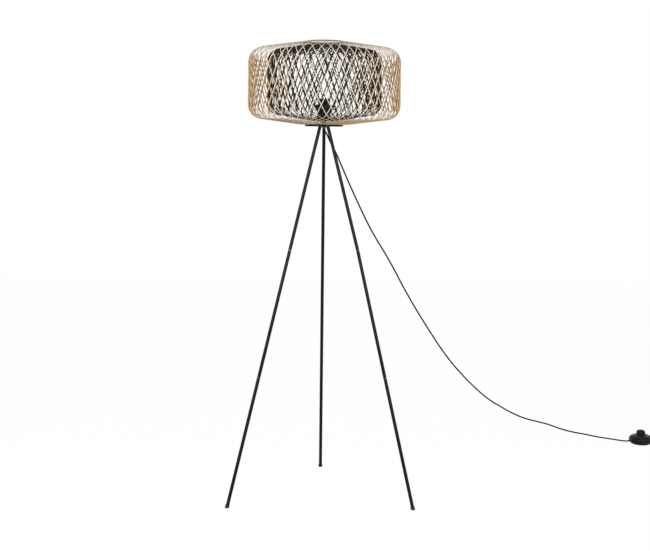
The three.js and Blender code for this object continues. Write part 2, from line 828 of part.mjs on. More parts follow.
function addSwitchInside(unit) {
  const floor = baseLow + switchWall + seat;
  const springTop = underDome(springRadius) - seat;
  piece(unit, 'switch_block', block(blockLength, blockWidth, blockTop - floor, floor), ceramic());
  const spring = sleeve(springRadius - springWall, springRadius, blockTop + seat, springTop, smallSides);
  piece(unit, 'button_spring', spring, zincSteel());
  piece(unit, 'switch_pad', bar(padRadius, 0, padThickness, switchSides), rubber());
  [['left', -1], ['right', 1]].forEach(([name, side]) => {
    const outline = [
      [0, baseLow - seat - switchScrewHead],
      [switchScrewHeadRadius, baseLow - seat - switchScrewHead],
      [switchScrewHeadRadius, baseLow - seat],
      [switchScrewRadius, baseLow - seat],
      [switchScrewRadius, switchScrewLength],
      [0, switchScrewLength],
    ];
    piece(unit, `switch_screw_${name}`, turned(outline, smallSides), zincSteel()).position.y = side * postPlace;
  });
}

function addSwitchReliefs(unit) {
  const outline = [
    [0, reliefStart],
    [reliefRadius, reliefStart],
    [reliefRadius, switchRadius],
    [reliefTip, reliefEnd],
    [0, reliefEnd],
  ];
  [['in', -1], ['out', 1]].forEach(([name, side]) => {
    const relief = piece(unit, `switch_relief_${name}`, turned(outline, smallSides), rubber());
    relief.position.z = switchSeam;
    relief.rotation.y = (side * Math.PI) / 2;
  });
}

function addFootSwitch(cord) {
  const unit = new THREE.Group();
  unit.position.set(switchX, switchY, 0);
  unit.rotation.z = switchHeading;
  cord.add(unit);
  addSwitchShells(unit);
  addSwitchButton(unit);
  addSwitchInside(unit);
  addSwitchReliefs(unit);
}

// Cord: from the hub down to the foot switch, on to the coil, and from the coil to the plug

// A point on the switch's cord line, on the inlet side for a negative distance.
function switchPoint(distance) {
  const place = new THREE.Vector3(Math.cos(switchHeading), Math.sin(switchHeading), 0).multiplyScalar(distance);
  return place.add(new THREE.Vector3(switchX, switchY, switchSeam));
}

function smoothCurve(points) {
  return new THREE.CatmullRomCurve3(points, false, 'centripetal');
}

function addCordDrop(cord) {
  const route = [
    [5, 3, 1190], [20, 12, 1159], [45, 26, 1111], [66, 38, 1063], [107, 62, 973],
    [161, 94, 864], [227, 132, 754], [289, 169, 641], [359, 209, 526], [439, 256, 408],
    [489, 285, 348], [550, 321, 285], [594, 346, 246], [641, 373, 214], [689, 401, 184],
    [737, 429, 160], [786, 458, 142], [834, 486, 125], [884, 515, 103], [934, 544, 85],
    [985, 574, 70], [1037, 604, 54], [1089, 634, 40],
  ];
  const start = new THREE.Vector3(0, 0, bushLow - seat);
  const points = [
    start,
    start.clone().setZ(start.z - cordRadius),
    ...route.map(([x, y, z]) => new THREE.Vector3(x, y, z)),
    switchPoint(-reliefEnd - seat - 4 * cordRadius),
    switchPoint(-reliefEnd - seat - 2 * cordRadius),
    switchPoint(-reliefEnd - seat),
  ];
  piece(cord, 'cord_drop', wire(smoothCurve(points), cordRadius, cordSides, cordDropSteps), sheath());
}

const coilLow = tieThickness + seat + cordRadius;
const coilTurns = 2 * coilTurnsPerLayer + coilClimbTurns;

// The coil's centre line at so many turns: in at a steady rate on the lower layer, up a layer in the half
// turn where the spiral reverses, and out again on the upper layer.
function coilPoint(turns) {
  const middle = coilTurns / 2;
  const radius = coilRadius - cordPitch * (middle - Math.abs(turns - middle));
  const climb = THREE.MathUtils.clamp((turns - coilTurnsPerLayer) / coilClimbTurns, 0, 1);
  const angle = coilEntryAngle + turns * Math.PI * 2;
  const height = coilLow + cordPitch * THREE.MathUtils.smoothstep(climb, 0, 1);
  return new THREE.Vector3(coilX + radius * Math.cos(angle), coilY + radius * Math.sin(angle), height);
}

class CoilCurve extends THREE.Curve {
  getPoint(share, target = new THREE.Vector3()) {
    return target.copy(coilPoint(share * coilTurns));
  }
}

// The straight ends of the coil: where they start, where they end and which way they point.
function coilEnd(turns) {
  const ahead = 1 / (coilStepsPerTurn * coilStepsPerTurn);
  const inward = turns === 0 ? ahead : -ahead;
  const place = coilPoint(turns);
  const away = place.clone().sub(coilPoint(turns + inward)).setZ(0).normalize();
  return { place, away, tip: place.clone().addScaledVector(away, 2 * cordRadius) };
}

const coilStart = coilEnd(0);
const coilFinish = coilEnd(coilTurns);

function addCoil(cord) {
  const path = new THREE.CurvePath();
  path.add(new THREE.LineCurve3(coilStart.tip, coilStart.place));
  path.add(new CoilCurve());
  path.add(new THREE.LineCurve3(coilFinish.place, coilFinish.tip));
  path.curves[1].arcLengthDivisions = coilStepsPerTurn * coilStepsPerTurn;
  const steps = Math.ceil((coilTurns + 1 / 4) * coilStepsPerTurn);
  piece(cord, 'cord_coil', wire(path, cordRadius, coilSides, steps), sheath());
  printCoilGap();
}

// Prints the least gap between turns, measured on points of the centre line over half a turn apart.
function printCoilGap() {
  const points = [];
  for (let k = 0; k <= coilTurns * coilStepsPerTurn; k += 1) points.push(coilPoint(k / coilStepsPerTurn));
  let least = Infinity;
  for (let i = 0; i < points.length; i += 1) {
    for (let j = i + coilStepsPerTurn / 2; j < points.length; j += 1) {
      least = Math.min(least, points[i].distanceTo(points[j]));
    }
  }
  console.log(`least gap between the coil's turns: ${(least - 2 * cordRadius).toFixed(2)} mm`);
}

// The cord from the switch to the coil, lying down on the way.
function addCordLink(cord) {
  const { tip, away } = coilStart;
  const points = [
    switchPoint(reliefEnd + seat),
    switchPoint(reliefEnd + seat + 2 * cordRadius),
    switchPoint(reliefEnd + seat + 4 * cordRadius),
    tip.clone().addScaledVector(away, seat + 8 * cordRadius),
    tip.clone().addScaledVector(away, seat + 4 * cordRadius),
    tip.clone().addScaledVector(away, seat),
  ];
  piece(cord, 'cord_link', wire(smoothCurve(points), cordRadius, cordSides, cordShortSteps), sheath());
}

// The strap round one side of the coil.
function addCoilTie(cord) {
  const inner = coilRadius - cordPitch * (coilTurns / 2) - cordRadius - seat;
  const outer = coilRadius + cordRadius + seat;
  const low = tieThickness;
  const high = coilLow + cordPitch + cordRadius + seat;
  const wall = tieThickness;
  const strap = new THREE.Shape();
  strap.moveTo(inner - wall, low - wall);
  strap.lineTo(outer + wall, low - wall);
  strap.lineTo(outer + wall, high + wall);
  strap.lineTo(inner - wall, high + wall);
  const hollow = new THREE.Path();
  hollow.moveTo(inner, low);
  hollow.lineTo(outer, low);
  hollow.lineTo(outer, high);
  hollow.lineTo(inner, high);
  strap.holes.push(hollow);
  const geometry = new THREE.ExtrudeGeometry(strap, { depth: tieWidth, bevelEnabled: false });
  geometry.translate(0, 0, -tieWidth / 2).rotateX(Math.PI / 2);
  const tie = piece(cord, 'coil_tie', closed(geometry), rubber());
  tie.position.set(coilX, coilY, 0);
  tie.rotation.z = tieAngle;
}

// Plug

const plugHeading = Math.atan2(coilFinish.away.y, coilFinish.away.x);
const plugStart = coilFinish.tip.clone()
  .addScaledVector(coilFinish.away, plugLeadLength + 2 * seat)
  .setZ(plugThickness / 2);

function plugBodyGeometry() {
  const half = plugWidth / 2;
  const inside = plugLength - 2 * plugEdge;
  const outline = [
    [0, -half * plugNeckShare],
    [inside * plugShoulderShare, -half + plugEdge],
    [inside, -half + plugEdge],
    [inside, half - plugEdge],
    [inside * plugShoulderShare, half - plugEdge],
    [0, half * plugNeckShare],
  ].map(([x, y]) => new THREE.Vector2(x, y));
  const body = new THREE.ExtrudeGeometry(new THREE.Shape(outline), {
    depth: plugThickness - 2 * plugEdge,
    bevelEnabled: true,
    bevelThickness: plugEdge,
    bevelSize: plugEdge,
    bevelSegments: 1,
  });
  const start = plugReliefLength + seat + plugEdge;
  return closed(body.translate(start, 0, plugEdge));
}

function addPlug(cord) {
  const unit = new THREE.Group();
  unit.position.set(plugStart.x, plugStart.y, 0);
  unit.rotation.z = plugHeading;
  cord.add(unit);
  const middle = plugThickness / 2;
  const relief = [[0, 0], [reliefTip, 0], [plugReliefRadius, plugReliefLength], [0, plugReliefLength]];
  const sleeveMesh = piece(unit, 'plug_relief', turned(relief, smallSides), rubber());
  sleeveMesh.position.z = middle;
  sleeveMesh.rotation.y = Math.PI / 2;
  piece(unit, 'plug_body', plugBodyGeometry(), blackPlastic());
  [['left', 1], ['right', -1]].forEach(([name, side]) => {
    const pin = piece(unit, `plug_pin_${name}`, bar(pinRadius, 0, pinLength, smallSides), zincSteel());
    pin.position.set(plugReliefLength + plugLength + 2 * seat, (side * pinSpacing) / 2, middle);
    pin.rotation.y = Math.PI / 2;
  });
}

function addCordEnd(cord) {
  const { tip, away } = coilFinish;
  const points = [
    tip.clone().addScaledVector(away, seat),
    tip.clone().addScaledVector(away, seat + 2 * cordRadius),
    tip.clone().addScaledVector(away, seat + 3 * cordRadius),
    plugStart.clone().addScaledVector(away, -seat - 3 * cordRadius),
    plugStart.clone().addScaledVector(away, -seat - 2 * cordRadius),
    plugStart.clone().addScaledVector(away, -seat),
  ];
  piece(cord, 'cord_end', wire(smoothCurve(points), cordRadius, cordSides, cordShortSteps), sheath());
}

// Assembly: the lamp's own footprint is centred on the origin, and the cord goes with it.
const lamp = new THREE.Group();
addBasePlate(lamp);
addLegs(lamp);
addNipple(lamp);
addHolder(lamp);
addHolderInside(lamp);
addShadeFrame(lamp);
addOuterShade(lamp);
addInnerShade(lamp);
const footprint = new THREE.Box3().setFromObject(lamp, true).getCenter(new THREE.Vector3());

const cord = new THREE.Group();
addCordDrop(cord);
addFootSwitch(cord);
addCordLink(cord);
addCoil(cord);
addCoilTie(cord);
addCordEnd(cord);
addPlug(cord);

const group = new THREE.Group();
group.add(lamp, cord);
group.position.set(-footprint.x, -footprint.y, 0);
group.updateMatrixWorld(true);

export default group;
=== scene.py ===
# A floor lamp: two lattice shades of split rattan, one inside the other, on three thin black legs, with a
# mains cord, a foot switch and a plug. Metres, +Z up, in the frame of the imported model.
import bpy
import bmesh
import numpy as np
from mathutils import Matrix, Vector


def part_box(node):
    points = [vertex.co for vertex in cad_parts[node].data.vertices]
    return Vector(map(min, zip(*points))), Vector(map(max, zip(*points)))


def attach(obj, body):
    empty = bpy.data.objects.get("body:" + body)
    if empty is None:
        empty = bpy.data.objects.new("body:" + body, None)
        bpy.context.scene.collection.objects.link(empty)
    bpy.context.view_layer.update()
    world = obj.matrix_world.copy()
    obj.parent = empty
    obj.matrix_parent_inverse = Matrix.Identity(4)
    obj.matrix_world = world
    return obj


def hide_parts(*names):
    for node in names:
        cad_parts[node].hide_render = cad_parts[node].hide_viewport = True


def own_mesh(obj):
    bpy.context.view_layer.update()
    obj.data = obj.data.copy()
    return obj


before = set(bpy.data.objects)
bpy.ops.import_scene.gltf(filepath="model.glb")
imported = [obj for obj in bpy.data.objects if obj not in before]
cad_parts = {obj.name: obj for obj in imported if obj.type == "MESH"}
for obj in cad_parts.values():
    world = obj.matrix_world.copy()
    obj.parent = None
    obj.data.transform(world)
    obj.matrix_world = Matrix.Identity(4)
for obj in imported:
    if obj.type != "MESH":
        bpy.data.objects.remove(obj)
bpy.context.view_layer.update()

# Camera.
# It stands 4.16 m in front of the lamp just below the shade, looks level, and leans a little. The shift puts
# its principal point high in the picture.
plate_low, plate_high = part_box("base_plate")
lamp_axis = np.array([(plate_low.x + plate_high.x) / 2, (plate_low.y + plate_high.y) / 2, 0])
image_width = 650
image_height = 551
camera_distance = 4.16
camera_height = 1.18
camera_roll = 0.0105
focal_pixels = 1265
principal_pixel = (323.9, 134.7)


def in_scene(name, data):
    """A new object in the scene that shows some data."""
    thing = bpy.data.objects.new(name, data)
    bpy.context.collection.objects.link(thing)
    return thing


camera_data = bpy.data.cameras.new("camera")
camera_data.sensor_width = 36
camera_data.lens = focal_pixels * camera_data.sensor_width / image_width
camera_data.shift_x = (image_width / 2 - principal_pixel[0]) / image_width
camera_data.shift_y = (principal_pixel[1] - image_height / 2) / image_width
camera = in_scene("camera", camera_data)
camera.location = (lamp_axis[0], lamp_axis[1] - camera_distance, camera_height)
camera.rotation_euler = (np.pi / 2, -camera_roll, 0)
bpy.context.scene.camera = camera

# Base plate.
# A 3 mm steel disc with a rounded edge, powder coated satin black. The legs are screwed on studs under it,
# and the lamp holder and both shades stand on it.
mm = 0.001
plate_radius = (plate_high.x - plate_low.x) / 2
plate_bore = 5.35 * mm
plate_edge = 0.8 * mm
merge_distance = 1e-7
usual_crease = 35


def grid_faces(rows, columns, wrap_rows=False):
    """Four-cornered faces between the neighbours of a grid of points, numbered row by row. Each row closes
    on itself, and so do the columns where wrap_rows is set."""
    i = np.arange(rows if wrap_rows else rows - 1)[:, None]
    j = np.arange(columns)[None, :]
    here = i * columns
    above = (i + 1) % rows * columns
    right = (j + 1) % columns
    return np.stack([here + j, here + right, above + right, above + j], -1).reshape(-1, 4)


def bend(start, corner, end, steps=6):
    """A quadratic curve that leaves the start and reaches the end in line with the corner."""
    u = np.linspace(0, 1, steps + 1)[:, None]
    return (1 - u) ** 2 * np.array(start) + 2 * u * (1 - u) * np.array(corner) + u ** 2 * np.array(end)


def filleted(*corners):
    """An outline of (x, y) corners, and of (x, y, fillet) corners that are rounded by a quadratic curve."""
    places = np.array([corner[:2] for corner in corners], float)
    line = []
    for k, corner in enumerate(corners):
        if len(corner) == 2:
            line.append(places[k:k + 1])
            continue
        before = places[k - 1] - places[k]
        after = places[(k + 1) % len(corners)] - places[k]
        start = places[k] + before / np.linalg.norm(before) * corner[2]
        end = places[k] + after / np.linalg.norm(after) * corner[2]
        line.append(bend(start, places[k], end))
    return np.concatenate(line)


def block(inner, outer, low, high, outer_edge, *inner_edge):
    """A four-cornered outline with its outer corners rounded, and its inner ones too where their edge is
    given."""
    return filleted((inner, low, *inner_edge), (outer, low, outer_edge), (outer, high, outer_edge),
                    (inner, high, *inner_edge))


def node_block(node, inner, outer, *edges):
    """A block as high as a node of the frame."""
    low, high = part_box(node)
    return block(inner, outer, low.z, high.z, *edges)


def turned(outline, sides=64, shaped=None):
    """An outline of (radius, height) points turned about Z: x = r cos a, y = r sin a. It is a closed loop, or
    runs from the axis to the axis. shaped, where given, makes r a function of radius, height and angle."""
    outline = np.asarray(outline, float)
    angle = np.arange(sides)[None, :] / sides * 2 * np.pi
    radius = outline[:, :1] + 0 * angle
    height = outline[:, 1:] + 0 * angle
    if shaped is not None:
        radius = shaped(radius, height, angle)
    points = np.stack([radius * np.cos(angle), radius * np.sin(angle), height], -1)
    return points.reshape(-1, 3), grid_faces(len(outline), sides, wrap_rows=outline[0, 0] > 0)


def placed(shape, place, direction=(0, 0, 1)):
    """A shape stood on a place, with its Z axis turned to a direction."""
    turn = Vector((0, 0, 1)).rotation_difference(Vector(direction)).to_matrix()
    return shape[0] @ np.array(turn).T + np.array(place), shape[1]


def outward_mesh(name, shape, uv=None):
    """A mesh of a shape's points and faces, with doubled points merged and the faces turned outwards. uv,
    where given, holds the place of each face's corners on the surface."""
    points, faces = shape
    mesh = bpy.data.meshes.new(name)
    mesh.from_pydata(np.asarray(points).tolist(), [], faces if isinstance(faces, list) else faces.tolist())
    if uv is not None:
        mesh.uv_layers.new(name="strip").uv.foreach_set("vector", np.asarray(uv, np.float32).ravel())
    shell = bmesh.new()
    shell.from_mesh(mesh)
    bmesh.ops.remove_doubles(shell, verts=shell.verts, dist=merge_distance)
    bmesh.ops.recalc_face_normals(shell, faces=shell.faces)
    shell.to_mesh(mesh)
    shell.free()
    return mesh


def piece(name, shape, material, node, body="lamp", crease=usual_crease, uv=None):
    """A mesh piece that stands for a node of the frame and rides on its body, smooth up to the crease angle
    in degrees."""
    mesh = outward_mesh(name, shape, uv)
    mesh.shade_smooth()
    mesh.set_sharp_from_angle(angle=np.radians(crease))
    mesh.materials.append(material)
    thing = in_scene(name, mesh)
    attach(thing, body)
    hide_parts(node)
    return thing


def turned_piece(name, outline, material, node, sides=64, shaped=None, axis=lamp_axis, **more):
    """A piece turned from its outline about an upright axis."""
    return piece(name, placed(turned(outline, sides, shaped), axis), material, node, **more)


def feed(tree, socket, value):
    """Puts a value, or another node's output, into a socket."""
    if isinstance(value, bpy.types.NodeSocket):
        tree.links.new(value, socket)
    else:
        socket.default_value = value


def feed_all(tree, node, inputs):
    """Puts values, or other nodes' outputs, into a node's inputs by name."""
    for name, value in inputs.items():
        feed(tree, node.inputs[name], value)


def shader_node(tree, kind, inputs=None, **settings):
    """A shader node with its settings and inputs."""
    made = tree.nodes.new("ShaderNode" + kind)
    for name, value in settings.items():
        setattr(made, name, value)
    feed_all(tree, made, inputs or {})
    return made


def mixed(tree, factor, first, second):
    """The colour between two colours. A mix node's colours are its inputs 6 and 7, and its output 2."""
    made = shader_node(tree, "Mix", data_type="RGBA")
    for place, value in ((0, factor), (6, first), (7, second)):
        feed(tree, made.inputs[place], value)
    return made.outputs[2]


def ranged(tree, value, low, high, to_low=0.0, to_high=1.0):
    """A value carried from one range to another, and held at its ends."""
    made = shader_node(tree, "MapRange", {
        "Value": value, "From Min": low, "From Max": high, "To Min": to_low, "To Max": to_high})
    return made.outputs["Result"]


def group_tree(name, inputs):
    """An empty shader node group with the inputs given, which puts out a colour, a roughness and a height."""
    tree = bpy.data.node_groups.new(name, "ShaderNodeTree")
    for socket, value in inputs.items():
        kind = "NodeSocketColor" if isinstance(value, tuple) else "NodeSocketFloat"
        tree.interface.new_socket(name=socket, in_out="INPUT", socket_type=kind).default_value = value
    for socket, kind in (("Color", "Color"), ("Roughness", "Float"), ("Height", "Float")):
        tree.interface.new_socket(name=socket, in_out="OUTPUT", socket_type="NodeSocket" + kind)
    return tree, tree.nodes.new("NodeGroupInput").outputs, tree.nodes.new("NodeGroupOutput")


def coated_skin_group():
    """The surface of a coated, moulded or plated piece: a fine pebble in the height, and slow clouds in the
    tone and the gloss, as handling and dust leave them. On the black plastic the clouds' lighter, warmer tone
    is also painted sheen."""
    tree, given, made = group_tree("coated_skin", {
        "Colour": (0.02, 0.02, 0.02, 1), "Cloud Colour": (0.03, 0.03, 0.03, 1),
        "Pebbles": 900.0, "Clouds": 14.0, "Smoothest": 0.3, "Roughest": 0.5})
    place = shader_node(tree, "TexCoord").outputs["Object"]
    pebble, cloud = [
        shader_node(tree, "TexNoise", {"Vector": place, "Scale": given[size], "Detail": detail})
        for size, detail in (("Pebbles", 2), ("Clouds", 4))]
    amount = ranged(tree, cloud.outputs["Fac"], 0.35, 0.7)
    gloss = ranged(tree, cloud.outputs["Fac"], 0.3, 0.7, given["Smoothest"], given["Roughest"])
    feed_all(tree, made, {"Color": mixed(tree, amount, given["Colour"], given["Cloud Colour"]),
                          "Roughness": gloss, "Height": pebble.outputs["Fac"]})
    return tree


coated_skin = coated_skin_group()


def finish(name, slot, group, values, metallic=0.0, specular=0.5, bump=0.3, depth=0.1 * mm):
    """A material whose colour, roughness and height come from a node group. The slot is not used."""
    material = bpy.data.materials.new(name)
    material.use_nodes = True
    tree = material.node_tree
    skin = shader_node(tree, "Group", values, node_tree=group).outputs
    relief = shader_node(tree, "Bump", {
        "Height": skin["Height"], "Strength": bump, "Distance": depth})
    feed_all(tree, tree.nodes["Principled BSDF"], {
        "Base Color": skin["Color"], "Roughness": skin["Roughness"], "Normal": relief.outputs["Normal"],
        "Metallic": metallic, "Specular IOR Level": specular})
    return material


def coat(name, slot, colour, cloud_colour, pebbles, clouds, gloss, **shader_values):
    """A coated skin in two tones, with so many pebbles and clouds to the metre and a range of roughness."""
    return finish(name, slot, coated_skin, {
        "Colour": (*colour, 1), "Cloud Colour": (*cloud_colour, 1), "Pebbles": pebbles, "Clouds": clouds,
        "Smoothest": gloss[0], "Roughest": gloss[1]}, **shader_values)


black_powder = coat("black_powder_coat", "black_steel", (0.006, 0.006, 0.0065), (0.009, 0.009, 0.0095),
                    1400, 9, (0.24, 0.34), specular=0.1, bump=0.25)
turned_piece("plate_disc", node_block("base_plate", plate_bore, plate_radius, plate_edge), black_powder,
             "base_plate", 128)

# Legs.
# Three drawn steel tubes each, 11 mm across with a 1 mm wall, powder coated like the plate. They are screwed
# end to end on zinc plated studs, and the joints show as hairlines.
leg_radius = 5.5 * mm
leg_bore = 4.5 * mm
leg_edge = 0.3 * mm
seat = 0.3 * mm
cut_allowance = 6 * mm
leg_places = ("left", "right", "back")


def bar_line(name):
    """The low end of a straight bar of the frame, its direction and its length. The ends are the means of the
    corners in its two halves, as seen along the direction in which its corners spread most."""
    corners = np.unique(np.array([v.co[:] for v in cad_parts[name].data.vertices]).round(6), axis=0)
    middle = corners.mean(0)
    direction = np.linalg.svd(corners - middle)[2][0]
    along = (corners - middle) @ direction
    ends = [corners[along < 0].mean(0), corners[along > 0].mean(0)]
    low_end, high_end = sorted(ends, key=lambda end: end[2])
    length = np.linalg.norm(high_end - low_end)
    return low_end, (high_end - low_end) / length, length


def levelled(shape, direction, limit, height):
    """A shape whose points past a level height, which is their upper or lower limit, are slid back to it
    along a direction."""
    points, faces = shape
    slide = (limit(points[:, 2], height) - points[:, 2]) / direction[2]
    return points + slide[:, None] * direction, faces


def dress(material, *names):
    """Pieces of the frame shown with a finish of their own."""
    for name in names:
        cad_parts[name].material_slots[0].material = material


zinc_plate = coat("zinc_plated_steel", "zinc_steel", (0.52, 0.52, 0.5), (0.42, 0.43, 0.44), 2200, 60,
                  (0.24, 0.42), metallic=1.0, bump=0.1)
for side in leg_places:
    for part in ("upper", "middle", "lower"):
        low_end, run, length = bar_line(f"leg_{part}_{side}")
        if part == "upper":
            length += cut_allowance
        tube = placed(turned(block(leg_bore, leg_radius, 0, length, leg_edge, leg_edge), 40), low_end, run)
        if part == "upper":
            tube = levelled(tube, run, np.minimum, plate_low.z - seat)
        piece(f"leg_tube_{part}_{side}", tube, black_powder, f"leg_{part}_{side}")
    dress(zinc_plate, f"leg_stud_{side}", f"joint_screw_upper_{side}", f"joint_screw_lower_{side}")

# Foot caps.
# A moulded black rubber cap pressed over the end of each leg, a little wider than the tube, with a rounded
# lip, and worn level on the floor.
foot_radius = 6.7 * mm
foot_height = 10 * mm
foot_lip = 1.2 * mm
foot_plug_radius = 4 * mm
foot_plug_height = 24 * mm
black_rubber = coat("black_rubber", "black_rubber", (0.012, 0.012, 0.012), (0.02, 0.0195, 0.019), 700, 90,
                    (0.55, 0.75), specular=0.25, bump=0.5)
foot_outline = filleted(
    (0, -foot_radius), (foot_radius, -foot_radius), (foot_radius, foot_height, foot_lip),
    (foot_plug_radius, foot_height), (foot_plug_radius, foot_plug_height, foot_lip), (0, foot_plug_height))
for side in leg_places:
    low_end, run, _ = bar_line(f"leg_lower_{side}")
    foot = placed(turned(foot_outline, 48), low_end - run * low_end[2] / run[2], run)
    foot = levelled(foot, run, np.maximum, 0)
    piece(f"foot_cap_moulding_{side}", foot, black_rubber, f"foot_cap_{side}")

# Nipple, nut, spacer and bush.
# A hollow threaded pipe through the middle of the plate, drawn tight by a hexagonal nut below, with a turned
# spacer under the lamp holder. A plastic bush in its lower end keeps the cord off the metal.
nipple_low, nipple_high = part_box("nipple")
nipple_radius = 5 * mm
nipple_bore = 3.3 * mm
nipple_pitch = 1 * mm
rows_per_turn = 8


def upright(radius, heights):
    """Points of an outline one above the other, at one radius."""
    return np.stack([0 * heights + radius, heights], 1)


def ripple(phase):
    """A wave between 0 and 1: (1 - cos phase) / 2."""
    return (1 - np.cos(phase)) / 2


def thread(outer, wall, depth, pitch, start=0):
    """A thread in the outer face of a wall: r = radius - depth ripple(2 pi (z - start) / pitch - a). It grows
    over the first turn above the start."""
    def cut(radius, height, angle):
        turns = (height - start) / pitch
        groove = depth * ripple(2 * np.pi * turns - angle) * np.clip(turns, 0, 1)
        return np.where(np.abs(radius - outer) < wall / 2, radius - groove, radius)
    return cut


nipple_rows = int(np.ceil((nipple_high.z - nipple_low.z) / nipple_pitch * rows_per_turn)) + 1
nipple_outline = np.concatenate([
    [[nipple_bore, nipple_high.z], [nipple_bore, nipple_low.z]],
    upright(nipple_radius, np.linspace(nipple_low.z, nipple_high.z, nipple_rows))])
turned_piece("threaded_nipple", nipple_outline, zinc_plate, "nipple", 48,
             thread(nipple_radius, nipple_radius - nipple_bore, depth=0.4 * mm, pitch=nipple_pitch),
             crease=60)

nut_low, nut_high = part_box("nipple_nut")
nut_corner = 7.5 * mm
nut_chamfer = 0.6 * mm
nut_outline = [
    (plate_bore, nut_low.z), (nut_corner - nut_chamfer, nut_low.z), (nut_corner, nut_low.z + nut_chamfer / 2),
    (nut_corner, nut_high.z - nut_chamfer / 2), (nut_corner - nut_chamfer, nut_high.z),
    (plate_bore, nut_high.z)]


def hexagonal(radius, height, angle):
    """The lesser of the turned radius and a hexagon's: corner cos 30 / cos(a mod 60 - 30)."""
    flat = nut_corner * np.cos(np.pi / 6) / np.cos(angle % (np.pi / 3) - np.pi / 6)
    return np.minimum(radius, flat)


turned_piece("hexagonal_nut", nut_outline, black_powder, "nipple_nut", 72, hexagonal, crease=20)

spacer_radius = 8 * mm
spacer_edge = 0.6 * mm
spacer_outline = node_block("holder_spacer", plate_bore, spacer_radius, spacer_edge)
turned_piece("turned_spacer", spacer_outline, black_powder, "holder_spacer")

# The cloud colour here is lighter and warmer than the ground colour: handling marks and painted sheen.
black_plastic = coat("black_moulded_plastic", "black_plastic", (0.005, 0.0045, 0.0045), (0.009, 0.007, 0.007),
                     1100, 40, (0.25, 0.38), specular=0.12, bump=0.2)
bush_radius = 4.6 * mm
bush_bore = 2.9 * mm
bush_lip = 0.7 * mm
bush_outline = node_block("cord_bush", bush_bore, bush_radius, bush_lip, bush_lip)
turned_piece("cord_bush_moulding", bush_outline, black_plastic, "cord_bush")

# Lamp holder.
# A moulded black holder in two halves: a cap screwed on the nipple, and a shell with a flange and a coarse
# outer thread for the clamp ring. Inside sit a glazed ceramic core, the brass screw shell and the contact.
cap_low, cap_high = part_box("holder_cap")
shell_low, shell_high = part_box("holder_shell")
ring_low, ring_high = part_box("clamp_ring")
holder_radius = 20.3 * mm
holder_bore = 17.9 * mm
holder_wall = holder_radius - holder_bore
cap_foot = 14 * mm
cap_shoulder = cap_low.z + 8 * mm
cap_inside = cap_low.z + holder_wall
moulded_edge = 0.8 * mm
flange_radius = 24 * mm
flange_low = shell_low.z + 13 * mm
flange_high = flange_low + 3 * mm
holder_pitch = 3.2 * mm
clamp_radius = (ring_high.x - ring_low.x) / 2
clamp_bore = 20.65 * mm
clamp_skirt = 3 * mm
clamp_round = 1.5 * mm
rib_count = 36
rib_depth = 0.9 * mm
points_per_rib = 8
ribbed_rows = 8

cap_outline = filleted(
    (plate_bore, cap_low.z), (cap_foot, cap_low.z, 2 * mm), (holder_radius, cap_shoulder, 4 * mm),
    (holder_radius, cap_high.z, moulded_edge), (holder_bore, cap_high.z),
    (holder_bore, cap_shoulder + holder_wall, 3 * mm), (cap_foot, cap_inside, 1 * mm),
    (plate_bore, cap_inside))
turned_piece("holder_cap_moulding", cap_outline, black_plastic, "holder_cap", 96)

row_step = holder_pitch / rows_per_turn
shell_outline = np.concatenate([
    filleted((holder_bore, shell_high.z, moulded_edge), (holder_bore, shell_low.z),
             (holder_radius, shell_low.z, moulded_edge), (holder_radius, flange_low),
             (flange_radius, flange_low, moulded_edge), (flange_radius, flange_high, moulded_edge),
             (holder_radius, flange_high)),
    upright(holder_radius, np.arange(flange_high + row_step, shell_high.z, row_step)),
    [[holder_radius, shell_high.z]]])
turned_piece("holder_shell_moulding", shell_outline, black_plastic, "holder_shell", 96,
             thread(holder_radius, holder_wall, depth=0.7 * mm, pitch=holder_pitch, start=flange_high),
             crease=50)

clamp_outline = np.concatenate([
    filleted((clamp_bore, ring_high.z), (clamp_bore, ring_low.z), (clamp_radius, ring_low.z, moulded_edge),
             (clamp_radius, ring_low.z + clamp_skirt, moulded_edge)),
    upright(clamp_radius, np.linspace(ring_low.z + clamp_skirt, ring_high.z - clamp_round, ribbed_rows)),
    bend((clamp_radius, ring_high.z - clamp_round), (clamp_radius, ring_high.z),
         (clamp_radius - clamp_round, ring_high.z))])


def ribbed(radius, height, angle):
    """r = radius - depth ripple(ribs a) on the outside, above the ring's plain skirt."""
    above = np.clip((height - ring_low.z - clamp_skirt) / moulded_edge, 0, 1)
    cut = rib_depth * ripple(rib_count * angle) * above
    return np.where(radius > (clamp_bore + clamp_radius) / 2, radius - cut, radius)


turned_piece("clamp_ring_moulding", clamp_outline, black_plastic, "clamp_ring",
             points_per_rib * rib_count, ribbed, crease=40)

glazed_ceramic = coat("glazed_ceramic", "ceramic", (0.74, 0.71, 0.64), (0.66, 0.62, 0.54), 500, 70,
                      (0.18, 0.35), bump=0.1)
core_low, core_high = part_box("holder_core")
core_outline = node_block("holder_core", 0, (core_high.x - core_low.x) / 2, moulded_edge)
turned_piece("ceramic_core", core_outline, glazed_ceramic, "holder_core", 96)

brass = coat("rolled_brass", "brass", (0.62, 0.42, 0.17), (0.5, 0.33, 0.13), 1800, 90, (0.2, 0.36),
             metallic=1.0, bump=0.08)
screw_low, screw_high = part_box("screw_shell")
screw_middle = 13.65 * mm
screw_wall = 0.4 * mm
screw_pitch = 3.62 * mm
screw_wave = 0.45 * mm
screw_rows_per_turn = 12
screw_rows = int((screw_high.z - screw_low.z) / screw_pitch * screw_rows_per_turn)
screw_heights = np.linspace(screw_low.z, screw_high.z, screw_rows)
screw_outline = np.concatenate([upright(screw_middle + screw_wall / 2, screw_heights),
                                upright(screw_middle - screw_wall / 2, screw_heights[::-1])])


def rolled(radius, height, angle):
    """r = radius + depth sin(2 pi z / pitch - a), alike on both faces of the sheet."""
    return radius + screw_wave * np.sin(2 * np.pi * height / screw_pitch - angle)


turned_piece("brass_screw_shell", screw_outline, brass, "screw_shell", 72, rolled, crease=60)

